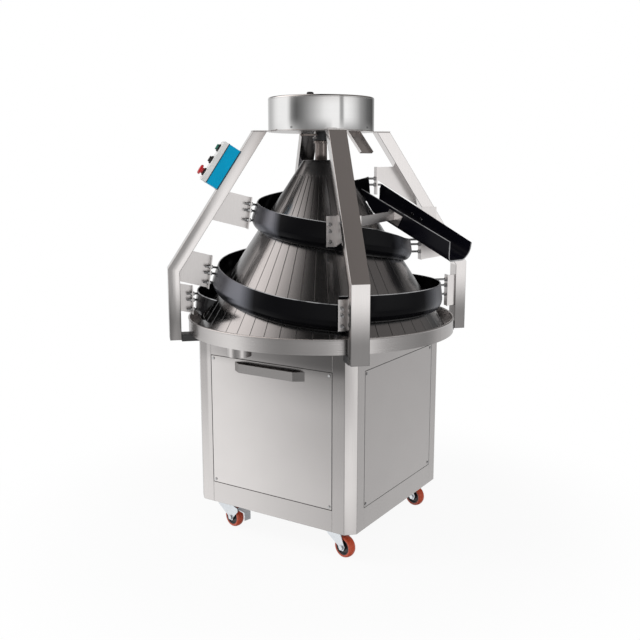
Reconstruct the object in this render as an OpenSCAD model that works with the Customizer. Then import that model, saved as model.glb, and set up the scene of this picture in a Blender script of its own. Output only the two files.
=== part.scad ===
// Conical dough rounder on casters, for a bakery line.
// A grooved cone turns inside a spiral track that is held by four arms.
// The arms carry a flour drum, and a cabinet below holds the drive.
// Millimetres, +Z up, origin on the floor under the cone's axis, front at -Y.

/* [Cabinet] */
// Width and depth over the panels
cab_w = 686; // [560:1:900]
// Cut across each upright corner, measured along the face
corner_cut = 32; // [15:1:60]
// Height of the cabinet's underside, equal to the caster height
cab_z0 = 108; // [90:1:140]
// Lower seam of the panels
panel_z0 = 187; // [150:1:260]
// Upper seam of the panels
panel_z1 = 677; // [500:1:700]
// Underside of the top deck
deck_z = 747; // [720:1:800]
// Thickness of the top deck
deck_t = 5; // [3:1:10]
// Thickness of the cabinet's sheet
sheet_t = 3; // [2:0.5:5]
// Half width of each panel opening
panel_half = 262; // [200:1:300]
// Seam round each panel
panel_gap = 1.5; // [0.5:0.5:4]
// Width of the lip behind the panel's edge
lip_w = 15; // [8:1:30]
// Thickness of the base plate
base_t = 4; // [3:1:8]
// Radius of a panel screw's head
screw_r = 5; // [3:0.5:8]
// Height of a panel screw's head
screw_h = 2.5; // [1:0.5:5]
// Distance of a panel screw from the panel's edges
screw_in = 12; // [10:1:30]

/* [Handle] */
// Overall width of the pull handle
handle_w = 302; // [150:1:400]
// Height of its folded sheet
handle_h = 33; // [20:1:50]
// How far it stands off the panel
handle_out = 24; // [15:1:60]
// Width of each sloping end
handle_slope = 34; // [20:1:60]
// Thickness of the handle's sheet
handle_t = 3; // [2:0.5:5]
// Height of the handle's centre line
handle_z = 648; // [400:1:658]

/* [Pan] */
// Outer radius of the catch pan
pan_r = 500; // [495:1:520]
// Height of its rim
pan_h = 54; // [30:1:80]
// Thickness of its sheet
pan_t = 3; // [2:0.5:5]
// Radius of the hem along the rim
hem_r = 3.5; // [2:0.5:6]
// Radius of its middle hole
pan_hole_r = 60; // [40:1:100]
// Outer radius of the crumb spout
spout_r = 43; // [30:1:55]
// Wall of the crumb spout
spout_t = 3; // [2:0.5:5]
// Length of the crumb spout
spout_l = 46; // [30:1:60]
// Sideways place of the spout
spout_x = -84; // [-180:1:180]
// Gap between the spout and the cabinet's face
spout_gap = 16; // [8:1:30]

/* [Cone] */
// Radius at the top
cone_r1 = 66; // [50:1:90]
// Gap between the cone's foot and the pan's rim
cone_gap = 32; // [25:1:60]
// Height of the top
cone_z1 = 1380; // [1370:1:1400]
// Height of the foot
cone_z0 = 770; // [762:1:790]
// Wall of the casting, measured level
cone_wall = 10; // [6:1:20]
// Thickness of the head of the cone
cone_cap = 34; // [20:1:60]
// Thickness of the web at the foot
web_t = 10; // [6:1:20]
// Radius of a hole in the web
web_hole_r = 55; // [20:1:70]
// Circle of the web's holes
web_hole_c = 250; // [200:1:330]
// Number of grooves
groove_n = 50; // [24:1:60]
// Width of a groove
groove_w = 3; // [1.5:0.5:6]
// Depth of a groove
groove_d = 2; // [1:0.5:4]
// Height at which the grooves end
groove_z1 = 1322; // [1250:1:1340]

/* [Shaft and drive] */
// Radius of the main shaft
shaft_r = 22.5; // [18:0.5:26]
// Lower end of the shaft
shaft_z0 = 620; // [600:1:636]
// Upper end of the shaft
shaft_z1 = 1524; // [1515:1:1545]
// Running clearance of shaft in bearing, on the radius
run_c = 0.05; // [0.02:0.01:0.1]
// Radius of the collar under the head
collar_r = 27; // [26:0.5:30]
// Height of the collar
collar_h = 9; // [5:1:14]
// Radius of the lower bearing housing
lbear_r = 55; // [45:1:70]
// Height of the lower bearing housing
lbear_h = 42; // [30:1:50]
// Radius of the upper bearing's flange
ubear_r = 36; // [34:1:40]
// Radius of the upper bearing's neck
ubear_neck_r = 29; // [28:1:32]
// Height of the upper bearing
ubear_h = 30; // [24:1:34]
// Belt groove radius of the large pulley
pulley_big_r = 95; // [80:1:98]
// Belt groove radius of the small pulley
pulley_small_r = 38; // [30:1:45]
// Flange height over the belt groove
pulley_flange = 8; // [6:1:10]
// Width of a pulley
pulley_w = 32; // [24:1:40]
// Thickness of a pulley's flange
pulley_flange_t = 3; // [2:0.5:5]
// Underside of the pulleys
pulley_z = 640; // [636:1:650]
// Distance between the pulley axes
belt_c = 200; // [190:1:205]
// Thickness of the belt
belt_t = 6; // [4:0.5:7]
// Clearance between belt and pulley
belt_gap = 0.3; // [0.2:0.1:0.6]
// Radius of the gearbox output stub
stub_r = 12; // [8:0.5:18]
// Width of the gearbox
gear_w = 150; // [145:1:190]
// Depth of the gearbox
gear_d = 130; // [110:1:130]
// Height of the gearbox
gear_h = 100; // [80:1:120]
// Top of the gearbox
gear_z1 = 622; // [600:1:630]
// Radius of the motor
motor_r = 68; // [50:1:75]
// Length of the motor
motor_l = 260; // [180:1:300]
// Thickness of a motor hanger
hanger_t = 8; // [5:1:12]
// Depth of a motor hanger
hanger_d = 110; // [80:1:120]

/* [Arms] */
// Gap between the pan and the upright part
arm_gap = 30; // [20:1:45]
// Inner radius of the arm's top, which the sloping part has to clear
arm_top = 205; // [190:1:205]
// Depth of the arm's box section
arm_d = 42; // [35:1:60]
// Width of the arm's box section
arm_w = 63; // [50:1:80]
// Wall of the box section
arm_t = 3; // [2:0.5:5]
// Foot of the arm
arm_z0 = 730; // [700:1:735]
// Height of the bend, on the outer face
arm_bend = 993; // [950:1:1030]
// Top of the arm
arm_z1 = 1480; // [1475:1:1490]
// Lean of the sloping part from upright, in degrees
arm_lean = 33; // [32:0.1:33.5]
// Height of the bar between arm and cabinet
foot_h = 26; // [16:1:30]
// Width of that bar
foot_w = 58; // [40:1:63]
// Least length of that bar
foot_l = 60; // [40:1:67]
// Gap between that bar and the pan
foot_gap = 2; // [1:0.5:5]

/* [Head] */
// Outer radius of the flour drum
drum_r = 194; // [180:1:205]
// Height of the flour drum's wall
drum_h = 110; // [80:1:150]
// Wall of the flour drum
drum_t = 2; // [1:0.5:4]
// Thickness of the head plate
head_t = 4; // [3:1:8]
// Reach of the head plate's ears past the arms
ear_over = 0; // [0:0.5:20]
// Clearance of the shaft in the head plate
head_clear = 3; // [1:0.5:6]
// Rise of the lid over the drum
lid_h = 8; // [5:1:15]
// Thickness of the lid
lid_t = 4; // [2:1:5]
// Depth of the lid's locating lip
lid_lip = 8; // [5:1:14]
// Clearance of the lip in the drum
lid_clear = 0.3; // [0.2:0.1:1]
// Radius of the lid's knob
knob_r = 13; // [8:1:20]
// Height of the lid's knob
knob_h = 22; // [16:1:40]
// Distance of the knob from the axis
knob_off = 40; // [0:1:120]
// Direction of the knob
knob_az = -147; // [-180:1:180]
// Reach of the flour paddles
paddle_r = 182; // [140:1:186]
// Height of a paddle
paddle_h = 14; // [8:1:20]
// Thickness of a paddle
paddle_t = 6; // [3:1:10]
// Radius of the lever's pivot pin
pin_r = 4; // [3:0.5:6]
// Distance of the lever's pivot from the axis
lever_off = 54; // [52:1:70]
// Direction of the lever's pivot from the axis
pivot_az = -82; // [-100:1:-70]
// Direction of the lever at rest
lever_az = -147; // [-180:1:-140]
// Length of the lever
lever_l = 46; // [30:1:60]
// Thickness of the lever
lever_t = 6; // [4:1:10]
// Radius of the lever's ball
ball_r = 7; // [5:0.5:9]
// Width of the flour channel
fchan_w = 74; // [50:1:90]
// Height of the flour channel's lips
fchan_h = 10; // [6:1:20]
// Length of the flour channel
fchan_l = 92; // [80:1:110]
// Slope of the flour channel, in degrees
fchan_a = 51; // [40:1:58]
// Direction of the flour channel, in degrees
fchan_az = -6; // [-15:1:10]
// Start of the flour channel from the axis
fchan_x = 152; // [140:1:156]
// Sheet of the flour channel
fchan_t = 2.5; // [1.5:0.5:4]

/* [Track] */
// Gap between the track's lip and the cone, level
lip_gap = 2; // [1.5:0.1:4]
// Height of the track's section
track_h = 96; // [80:1:110]
// Height of the section where it runs under the outfeed chute
track_h_low = 80; // [60:1:84]
// Turning step of the modelled spiral, in degrees
track_step = 5; // [3:1:10]
// Height of the start above the cone's foot
track_rise0 = 36; // [36:1:50]
// Width of a bracket's flange
flange_w = 36; // [30:1:45]
// Thickness of a bracket's sheet
bracket_t = 4; // [3:0.5:6]
// Distance of the stud line from a bracket's web
stud_line = 24; // [18:0.5:28]
// Radius of an adjusting stud
stud_r = 4; // [3:0.5:5]
// How far a stud passes the flange
stud_out = 20; // [12:1:22]
// Size of a stud's nut, over corners, on the radius
nut_r = 7.5; // [6:0.5:9]
// Height of a nut
nut_h = 5; // [3:0.5:8]
// Rake of the track's starting end, in degrees of turn
start_rake = 20; // [0:1:24]
// Depth of a stud's end in the track's wall
stud_bite = 1.5; // [0.5:0.5:3]

/* [Outfeed chute] */
// Width over the walls
chute_w = 145; // [140:1:150]
// Depth of the channel
chute_h = 60; // [45:1:62]
// Radius of the lower corners
chute_r = 30; // [15:1:50]
// Wall of the channel
chute_t = 4; // [3:0.5:6]
// Rise of the far wall's edge at its start
chute_rise = 18; // [0:1:30]
// Slope in degrees
chute_a = 26.5; // [22:0.5:28]
// Place of the near wall
chute_y = 100; // [98:1:104]
// Start beside the cone
chute_x0 = 116; // [116:1:130]
// Outer end of the near wall
chute_x1 = 480; // [400:1:560]
// Slant of the outer end, in degrees
chute_end = 9.4; // [0:0.1:15]
// Height of the wall's edge at the reference place
chute_z = 1282; // [1280:1:1300]
// Reference place of that height
chute_ref = 100; // [90:1:110]
// Clearance to the cone
chute_clear = 6; // [4:1:12]
// Height of the support bar
bar_h = 32; // [20:1:40]
// Thickness of the support bar
bar_t = 6; // [4:1:10]
// Height of the bar's centre line
bar_z = 1180; // [1172:1:1182]

/* [Control box] */
// Length along the arm
box_l = 159; // [140:1:200]
// Width
box_w = 82; // [60:1:120]
// Depth of the body
box_d = 48; // [40:1:80]
// Depth of the lid
box_lid = 20; // [10:1:25]
// Wall of the body and lid
box_t = 3; // [2:0.5:4]
// Height of the box's middle
box_z = 1342; // [1250:1:1380]
// Distance between the buttons
button_p = 50; // [45:1:55]
// Radius of a button
button_r = 10.7; // [8:0.1:13]
// Clearance of a button in its collar
button_c = 0.3; // [0.2:0.1:0.5]
// Outer radius of a collar
collar_out = 15; // [14:0.5:18]
// Height of a collar
collar_up = 7; // [5:1:10]
// Height of a button over its collar
button_up = 6; // [5:1:10]
// Radius of the stop mushroom
mush_r = 19; // [16:1:22]
// Height of the stop mushroom
mush_h = 11; // [8:1:16]
// Gap under the stop mushroom
mush_gap = 6; // [6:1:10]
// Depth of a button's stem behind its collar
stem_l = 22; // [16:1:30]

/* [Cable gland] */
// Bore for the mains cable
gland_bore = 6.5; // [4:0.5:9]
// Size over corners, on the radius
gland_r = 15; // [12:0.5:20]
// Length outside the panel
gland_l = 22; // [15:1:40]
// Sideways place
gland_x = 150; // [-200:1:200]
// Height
gland_z = 260; // [220:1:600]

/* [Casters] */
// Sideways distance of each pivot from the middle
cast_x = 246; // [220:1:270]
// Fore and aft distance of each pivot from the middle
cast_y = 277; // [220:1:280]
// Direction in which the wheels trail at rest
cast_az = -12; // [-180:1:180]
// Radius of the wheel
wheel_r = 40; // [35:1:42]
// Radius of the hub under the tyre
hub_r = 29; // [24:1:31]
// Width of the tyre
tyre_w = 30; // [24:1:32]
// Width of the hub
hub_w = 34; // [33:0.5:34.5]
// Radius of the axle
axle_r = 5; // [4:0.5:7]
// Trail of the wheel behind its pivot
trail = 36; // [25:1:42]
// Inner distance between the fork's legs
fork_in = 35; // [35:0.5:38]
// Thickness of the fork's sheet
fork_t = 3; // [2:0.5:5]
// Thickness of the caster's plate
plate_t = 5; // [4:1:8]
// Side of the caster's plate
plate_w = 96; // [80:1:110]
// Radius of the swivel
swivel_r = 29; // [24:1:34]
// Height of the swivel
swivel_h = 9; // [6:1:10]
// Gap between plate and swivel
swivel_gap = 0.4; // [0.3:0.1:1]
// Radius of the king pin
king_r = 6; // [5:0.5:8]
// Reach of the brake pedal from its pin
pedal_l = 40; // [30:1:45]
// Height of the pedal's pad
pedal_h = 28; // [15:1:32]
// Width of the brake pedal
pedal_w = 30; // [20:1:34]
// Thickness of the brake pedal
pedal_t = 4; // [3:0.5:6]
// Drop of the pedal's arm over its reach
pedal_d = 4; // [0:1:10]
// Radius of the pedal's pin
pedal_pin = 3; // [2:0.5:4]

/* [Hidden] */
$fn = 64;
half = cab_w / 2;
flat_r = (cab_w - corner_cut) / sqrt(2);
pan_z0 = deck_z + deck_t;
pan_z1 = pan_z0 + pan_h;
spout_y = -half - spout_r - min(spout_gap, (pan_r - pan_t - half) / 2 - spout_r);
cone_r0 = pan_r - cone_gap;
cone_k = (cone_r0 - cone_r1) / (cone_z1 - cone_z0);
cone_a = atan(cone_k);
arm_k = tan(arm_lean);
bend_in = arm_bend - arm_d * tan(arm_lean / 2);
// The upright part clears the pan and the cabinet, and lets the sloping part reach the head.
arm_ri = max(pan_r + arm_gap, flat_r + foot_l, arm_top + (arm_z1 - bend_in) * arm_k);
arm_ro = arm_ri + arm_d;
ear_r = arm_ri - (arm_z1 - bend_in) * arm_k + arm_d / cos(arm_lean) + ear_over;
head_z = arm_z1;
drum_z0 = head_z + head_t;
drum_z1 = drum_z0 + drum_h;
lid_z1 = drum_z1 + lid_h;
ubear_z0 = head_z - ubear_h;
collar_z = ubear_z0 - 1 - collar_h;
arm_az = [-45, -135, 135, 45];
lip = panel_gap + lip_w;
chute_ym = chute_y + chute_w / 2;
gear_y = belt_c;
caster_pose = [[1, -1], [-1, -1], [1, 1], [-1, 1]];
axle_z = wheel_r;
swivel_z1 = cab_z0 - plate_t - swivel_gap;
swivel_z0 = swivel_z1 - swivel_h;
pedal_x = trail + 31;
pedal_z = axle_z + 36;
box_r = arm_ro - (box_z - arm_bend) * arm_k;
lid_out = box_d + box_lid;

// Lip height of the spiral, over the angle travelled from the left arm, clockwise seen from above.
low_z = [[-7, 0], [60, 9], [120, 17], [180, 25], [240, 33], [276, 37]];
up_z = [[268, 5], [285, 18], [300, 32], [315, 50], [330, 68], [345, 84], [360, 98], [380, 113],
        [405, 128], [450, 151], [500, 175], [540, 195], [568, 212], [600, 238], [638, 269],
        [675, 295], [709, 319], [740, 336], [780, 358], [840, 390], [900, 421]];
sec_h = [[-10, 0], [515, 0], [545, 1], [574, 1], [604, 0], [900, 0]];
// Lean of the track's wall toward the cone at its upper edge, over the angle travelled.
sec_lean = [[-10, 0], [300, 0], [345, 14], [372, 16], [400, 12], [450, 3], [480, 0], [640, 0], [690, 10],
            [732, 14], [770, 8], [810, 2], [840, 0], [900, 0]];
// Brackets: arm angle, angle travelled, upper run, web place, way of the flange, gap to the track,
// low lift, high lift, rise of the edges toward the arm, tilt of the flange. Where the web passes over
// the chute's far wall: rise of its low edge toward the arm, and lift of that edge at the flange.
marks = [[-135, 0, 0, -21.5, 1, 8, 0, 0, 0.2, 0], [135, 90, 0, -21.5, 1, 14, 0, 0, 0.2, 0],
         [45, 180, 0, -21.5, 1, 42, -27, -9, 0.15, 0], [-45, 270, 0, 8, 1, 14, 0, 0, 0.2, 0],
         [-45, 270, 1, -17.5, -1, 22, 0, 0, 0.26, 0], [-135, 360, 1, -21.5, 1, 14, -4, 14, 0.26, 8],
         [135, 450, 1, -21.5, 1, 14, 0, 0, 0.26, 0], [45, 540, 1, -21.5, 1, 42, -12, -6, 0.15, 0],
         [-45, 630, 1, -17.5, -1, 22, 0, 0, 0.26, 0], [-135, 720, 1, -21.5, 1, 14, -15, -2, 0.26, 8],
         [135, 810, 1, -21.5, 1, 14, 0, 0, 0.26, 0], [45, 900, 1, 17.5, 1, 22, 16, 16, 0.03, 0, -0.61, 55]];

function cone_at(z) = cone_r1 + cone_k * (cone_z1 - z);
function lip_z(s, up) = cone_z0 + track_rise0 + (up ? lookup(s, up_z) : lookup(s, low_z));
function lip_r(s, up) = cone_at(lip_z(s, up)) + lip_gap;
function height_at(s) = track_h + (track_h_low - track_h) * lookup(s, sec_h);
function lift(dz, s) = dz < 36 ? dz : 36 + (dz - 36) * (height_at(s) - 36) / 60;
sec_out = [[3, -1], [14, 4], [22, 13], [27, 24], [29, 36], [26.5, 62], [22, 96]];
sec_in = [[18, 96], [22.5, 62], [25, 36.5], [23.2, 25.5], [18.8, 15.5], [11.5, 7.5], [0, 1]];
section = concat(sec_out, sec_in);
out_line = [for (p = sec_out) [p[1], p[0]]];
function arm_in(z) = z < bend_in ? arm_ri : arm_ri - (z - bend_in) * arm_k;
function lean(dz, s) = dz < 36 ? 0 : lookup(s, sec_lean) * (dz - 36) / 60;
function stud_t(m) = m[3] + m[4] * stud_line;
function stud_dz(m) = m[6] > 0 ? [67, 90] : [32, 67, 90];
function stud_s(m) = let (r = lip_r(m[1], m[2] == 1) + 28) m[1] - asin(stud_t(m) / r);
function mark_lip(m) = lip_z(stud_s(m), m[2] == 1);
function wall_u(m, dz) = let (s = stud_s(m), r = lip_r(s, m[2] == 1) + lookup(dz, out_line) - lean(dz, s))
    sqrt(r * r - stud_t(m) * stud_t(m));
function flange_u(m) = wall_u(m, 36) + m[5];
function mark_z0(m) = mark_lip(m) + 14 + m[6];
function mark_z1(m) = mark_lip(m) + height_at(stud_s(m)) + 22 + m[7];
function stud_v(m, dz) = (mark_lip(m) + lift(dz, stud_s(m)) - mark_z0(m)) / cos(m[9]);
function stud_d(m, dz, d, n) = n == 0 ? d : stud_d(m, dz, (flange_u(m) - stud_v(m, dz) * sin(m[9])
    - wall_u(m, dz - d * sin(m[9]))) / cos(m[9]), n - 1);
function web_z(u, z, k) = let (a = z + k * (arm_ri - u)) a < bend_in ? a :
    (z + k * (arm_ri + bend_in * arm_k - u)) / (1 + k * arm_k);

steel = [0.78, 0.78, 0.79];
dark = [0.24, 0.24, 0.26];
black = [0.05, 0.05, 0.06];

module four() {
    for (q = [0 : 3]) rotate([0, 0, 90 * q]) children();
}

module outline(inset) {
    h = half - inset;
    c = corner_cut - inset * (2 - sqrt(2));
    polygon([[h - c, -h], [h, c - h], [h, h - c], [h - c, h], [c - h, h], [-h, h - c], [-h, c - h],
             [c - h, -h]]);
}

module corner_posts() {
    color(steel) four() {
        translate([0, 0, cab_z0]) linear_extrude(deck_z - cab_z0) intersection() {
            difference() {
                outline(0);
                outline(sheet_t);
            }
            translate([panel_half, panel_half]) square(half);
        }
        translate([0, 0, panel_z0]) linear_extrude(panel_z1 - panel_z0) {
            translate([panel_half - lip, half - 2 * sheet_t]) square([lip + 8, sheet_t]);
            translate([half - 2 * sheet_t, panel_half - lip]) square([sheet_t, lip + 8]);
        }
    }
}

module base_frame() {
    color(steel) {
        four() translate([-panel_half, -half, cab_z0]) cube([2 * panel_half, sheet_t, panel_z0 - cab_z0]);
        translate([0, 0, cab_z0]) linear_extrude(base_t) outline(sheet_t);
    }
}

module top_frame() {
    color(steel) {
        four() translate([-panel_half, -half, panel_z1]) cube([2 * panel_half, sheet_t, deck_z - panel_z1]);
        translate([0, 0, deck_z]) linear_extrude(deck_t) difference() {
            outline(0);
            circle(r = shaft_r + 8);
        }
    }
}

module panel() {
    w = panel_half - panel_gap;
    translate([-w, -half, panel_z0 + panel_gap])
        cube([2 * w, sheet_t, panel_z1 - panel_z0 - 2 * panel_gap]);
}

module front_panel() {
    color(steel) panel();
}

module side_panels() {
    color(steel) difference() {
        for (q = [1 : 3]) rotate([0, 0, 90 * q]) panel();
        translate([gland_x, half - sheet_t - 1, gland_z]) rotate([-90, 0, 0])
            cylinder(r = gland_bore + 2, h = sheet_t + 2);
    }
}

module panel_screws() {
    x = panel_half - screw_in;
    color(steel) four() for (sx = [-1, 1]) for (z = [panel_z0 + screw_in, panel_z1 - screw_in])
        translate([sx * x, -half, z]) rotate([90, 0, 0]) cylinder(r = screw_r, h = screw_h);
}

module pull_handle() {
    w = handle_w / 2;
    s = handle_slope;
    o = handle_out;
    t = handle_t;
    color(steel) translate([0, -half, handle_z - handle_h / 2]) linear_extrude(handle_h)
        polygon([[-w, 0], [s - w, -o], [w - s, -o], [w, 0], [w - t * 1.3, 0], [w - s - t * 0.7, t - o],
                 [s + t * 0.7 - w, t - o], [t * 1.3 - w, 0]]);
}

module catch_pan() {
    color(steel) difference() {
        rotate_extrude() {
            polygon([[pan_hole_r, pan_z0], [pan_r, pan_z0], [pan_r, pan_z1], [pan_r - pan_t, pan_z1],
                     [pan_r - pan_t, pan_z0 + pan_t], [pan_hole_r, pan_z0 + pan_t]]);
            translate([pan_r - pan_t / 2, pan_z1 - hem_r]) circle(r = hem_r);
        }
        translate([spout_x, spout_y, pan_z0 - 1]) cylinder(r = spout_r - spout_t, h = pan_t + 2);
    }
}

module crumb_spout() {
    color(steel) translate([spout_x, spout_y, pan_z0 - spout_l]) difference() {
        cylinder(r = spout_r, h = spout_l);
        translate([0, 0, -1]) cylinder(r = spout_r - spout_t, h = spout_l + 2);
    }
}

module arm_feet() {
    color(dark) for (a = arm_az) rotate([0, 0, a])
        translate([flat_r, -foot_w / 2, pan_z0 - foot_gap - foot_h]) cube([arm_ri - flat_r, foot_w, foot_h]);
}

module arm_side(inset, z0) {
    k = inset / cos(arm_lean);
    top = arm_z1 - inset;
    b = inset * tan(arm_lean / 2);
    polygon([[arm_ri + inset, z0], [arm_ro - inset, z0], [arm_ro - inset, arm_bend - b],
             [arm_ro - (top - arm_bend) * arm_k - k, top], [arm_in(top) + k, top],
             [arm_ri + inset, bend_in + b]]);
}

module arm(a) {
    color(steel) rotate([0, 0, a]) rotate([90, 0, 0]) difference() {
        translate([0, 0, -arm_w / 2]) linear_extrude(arm_w) arm_side(0, arm_z0);
        translate([0, 0, arm_t - arm_w / 2]) linear_extrude(arm_w - 2 * arm_t) arm_side(arm_t, arm_z0 - 1);
    }
}

module arm_front() {
    arm(-45);
}

module arm_left() {
    arm(-135);
}

module arm_back() {
    arm(135);
}

module arm_right() {
    arm(45);
}

module head_plate() {
    color(steel) {
        translate([0, 0, head_z]) linear_extrude(head_t) difference() {
            union() {
                circle(r = drum_r);
                for (a = arm_az) rotate([0, 0, a]) translate([0, -arm_w / 2]) square([ear_r, arm_w]);
            }
            circle(r = shaft_r + head_clear);
            rotate([0, 0, fchan_az]) translate([fchan_x + 22, 0]) circle(r = 14);
        }
        at_pivot() translate([0, 0, head_z - 20]) {
            cylinder(r = pin_r, h = 20);
            translate([0, 0, -3]) cylinder(r = pin_r + 4, h = 3);
        }
    }
}

module at_pivot() {
    translate([lever_off * cos(pivot_az), lever_off * sin(pivot_az), 0]) rotate([0, 0, lever_az]) children();
}

module flour_drum() {
    color(steel) translate([0, 0, drum_z0]) difference() {
        cylinder(r = drum_r, h = drum_h);
        translate([0, 0, -1]) cylinder(r = drum_r - drum_t, h = drum_h + 2);
    }
}

module drum_lid() {
    lo = drum_z1 + 0.1;
    r = drum_r - drum_t - lid_clear;
    color(steel) rotate_extrude() polygon([[0, lid_z1 - lid_t], [0, lid_z1], [drum_r - 7, lid_z1],
        [drum_r - 2, lid_z1 - 2], [drum_r, lid_z1 - 5], [drum_r, lo], [r, lo], [r, lo - lid_lip],
        [r - 2, lo - lid_lip], [r - 2, lid_z1 - lid_t]]);
}

module lid_knob() {
    color(black) rotate([0, 0, knob_az]) translate([knob_off, 0, lid_z1]) {
        cylinder(r = knob_r * 0.55, h = knob_h / 2);
        translate([0, 0, knob_h / 2]) cylinder(r = knob_r, h = knob_h / 2 - 3);
        translate([0, 0, knob_h - 3]) cylinder(r1 = knob_r, r2 = knob_r - 3, h = 3);
    }
}

module upper_bearing() {
    color(dark) translate([0, 0, ubear_z0]) difference() {
        union() {
            translate([0, 0, ubear_h - 12]) cylinder(r = ubear_r, h = 12);
            cylinder(r = ubear_neck_r, h = ubear_h);
            for (a = [10, 130, 250]) rotate([0, 0, a]) translate([ubear_r - 6, 0, ubear_h - 17])
                cylinder(r = 5.5, h = 17, $fn = 6);
        }
        translate([0, 0, -1]) cylinder(r = shaft_r + run_c, h = ubear_h + 2);
    }
}

module flour_lever() {
    z = head_z - 14;
    color(steel) at_pivot() translate([0, 0, z]) {
        difference() {
            union() {
                cylinder(r = pin_r + 5, h = lever_t);
                translate([0, -5, 0]) cube([lever_l, 10, lever_t]);
            }
            translate([0, 0, -1]) cylinder(r = pin_r + run_c, h = lever_t + 2);
        }
        translate([lever_l, 0, lever_t / 2]) sphere(r = ball_r);
    }
}

module flour_channel() {
    w = fchan_w / 2;
    t = fchan_t;
    s = fchan_h / tan(fchan_a) + 5;
    color(steel) difference() {
        rotate([0, 0, fchan_az]) translate([fchan_x, 0, head_z]) rotate([0, fchan_a, 0]) rotate([90, 0, 90])
            translate([0, 0, -s]) linear_extrude(fchan_l + s) polygon([[-w, -fchan_h], [w, -fchan_h], [w, 0],
                [w - t, 0], [w - t, t - fchan_h], [t - w, t - fchan_h], [t - w, 0], [-w, 0]]);
        translate([0, -100, head_z]) cube([400, 200, 100]);
    }
}

module flour_paddles() {
    z = drum_z0 + 6;
    color(dark) difference() {
        union() {
            translate([0, 0, z]) cylinder(r = shaft_r + 9, h = paddle_h + 6);
            for (a = [20, 200]) rotate([0, 0, a]) translate([shaft_r + 4, -paddle_t / 2, z])
                cube([paddle_r - shaft_r - 4, paddle_t, paddle_h]);
        }
        translate([0, 0, z - 1]) cylinder(r = shaft_r, h = paddle_h + 8);
    }
}

module groove_cut() {
    l = (groove_z1 - cone_z0 + 40) / cos(cone_a);
    translate([cone_at(groove_z1), 0, groove_z1]) rotate([0, 180 - cone_a, 0])
        translate([-groove_d, -groove_w / 2, 0]) cube([2 * groove_d, groove_w, l]);
}

module cone() {
    color(dark) difference() {
        rotate_extrude() polygon([[shaft_r, cone_z1], [cone_r1, cone_z1], [cone_r0, cone_z0],
            [shaft_r, cone_z0], [shaft_r, cone_z0 + web_t + 26], [shaft_r + 18, cone_z0 + web_t + 26],
            [shaft_r + 18, cone_z0 + web_t], [cone_at(cone_z0 + web_t) - cone_wall, cone_z0 + web_t],
            [cone_at(cone_z1 - cone_cap) - cone_wall, cone_z1 - cone_cap],
            [shaft_r, cone_z1 - cone_cap]]);
        for (q = [0 : 5]) rotate([0, 0, 60 * q]) translate([web_hole_c, 0, cone_z0 - 1])
            cylinder(r = web_hole_r, h = web_t + 2);
        for (q = [0 : groove_n - 1]) rotate([0, 0, (q + 0.5) * 360 / groove_n]) groove_cut();
    }
}

module main_shaft() {
    color(steel) {
        translate([0, 0, shaft_z0]) cylinder(r = shaft_r, h = shaft_z1 - shaft_z0);
        translate([0, 0, collar_z]) cylinder(r = collar_r, h = collar_h);
    }
}

module lower_bearing() {
    color(dark) translate([0, 0, deck_z - lbear_h]) difference() {
        union() {
            cylinder(r = lbear_r - 14, h = lbear_h);
            translate([0, 0, lbear_h - 14]) cylinder(r = lbear_r, h = 14);
        }
        translate([0, 0, -1]) cylinder(r = shaft_r + run_c, h = lbear_h + 2);
    }
}

module pulley(r, bore) {
    f = pulley_flange_t;
    rotate_extrude() polygon([[bore, 0], [r + pulley_flange, 0], [r + pulley_flange, f], [r, f],
        [r, pulley_w - f], [r + pulley_flange, pulley_w - f], [r + pulley_flange, pulley_w],
        [bore, pulley_w]]);
}

module driven_pulley() {
    color(steel) translate([0, 0, pulley_z]) pulley(pulley_big_r, shaft_r);
}

module drive_pulley() {
    color(steel) translate([0, gear_y, 0]) {
        translate([0, 0, pulley_z]) pulley(pulley_small_r, stub_r - 1);
        translate([0, 0, gear_z1 - 50]) cylinder(r = stub_r, h = pulley_z + pulley_w - gear_z1 + 50);
    }
}

module belt_loop(out) {
    a = pulley_big_r + out;
    b = pulley_small_r + out;
    s = (a - b) / belt_c;
    c = sqrt(1 - s * s);
    circle(r = a);
    translate([0, belt_c]) circle(r = b);
    polygon([[a * c, a * s], [b * c, belt_c + b * s], [-b * c, belt_c + b * s], [-a * c, a * s]]);
}

module drive_belt() {
    f = pulley_flange_t + 2;
    color(black) translate([0, 0, pulley_z + f]) linear_extrude(pulley_w - 2 * f) difference() {
        belt_loop(belt_gap + belt_t);
        belt_loop(belt_gap);
    }
}

module gear_motor() {
    color(dark) difference() {
        union() {
            translate([-gear_w / 2, gear_y - gear_d / 2, gear_z1 - gear_h]) cube([gear_w, gear_d, gear_h]);
            translate([0, gear_y, gear_z1 - gear_h - motor_l]) cylinder(r = motor_r, h = motor_l);
            translate([0, gear_y, gear_z1 - gear_h - 14]) cylinder(r = motor_r + 12, h = 14);
        }
        translate([0, gear_y, gear_z1 - 52]) cylinder(r = stub_r + run_c, h = 54);
    }
}

module motor_hangers() {
    color(steel) for (sx = [-1, 1]) {
        translate([sx > 0 ? gear_w / 2 : -gear_w / 2 - hanger_t, gear_y - hanger_d / 2, gear_z1 - gear_h])
            cube([hanger_t, hanger_d, deck_z - gear_z1 + gear_h]);
        translate([sx > 0 ? gear_w / 2 : -gear_w / 2 - 40, gear_y - hanger_d / 2, deck_z - 6])
            cube([40, hanger_d, 6]);
    }
}

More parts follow.
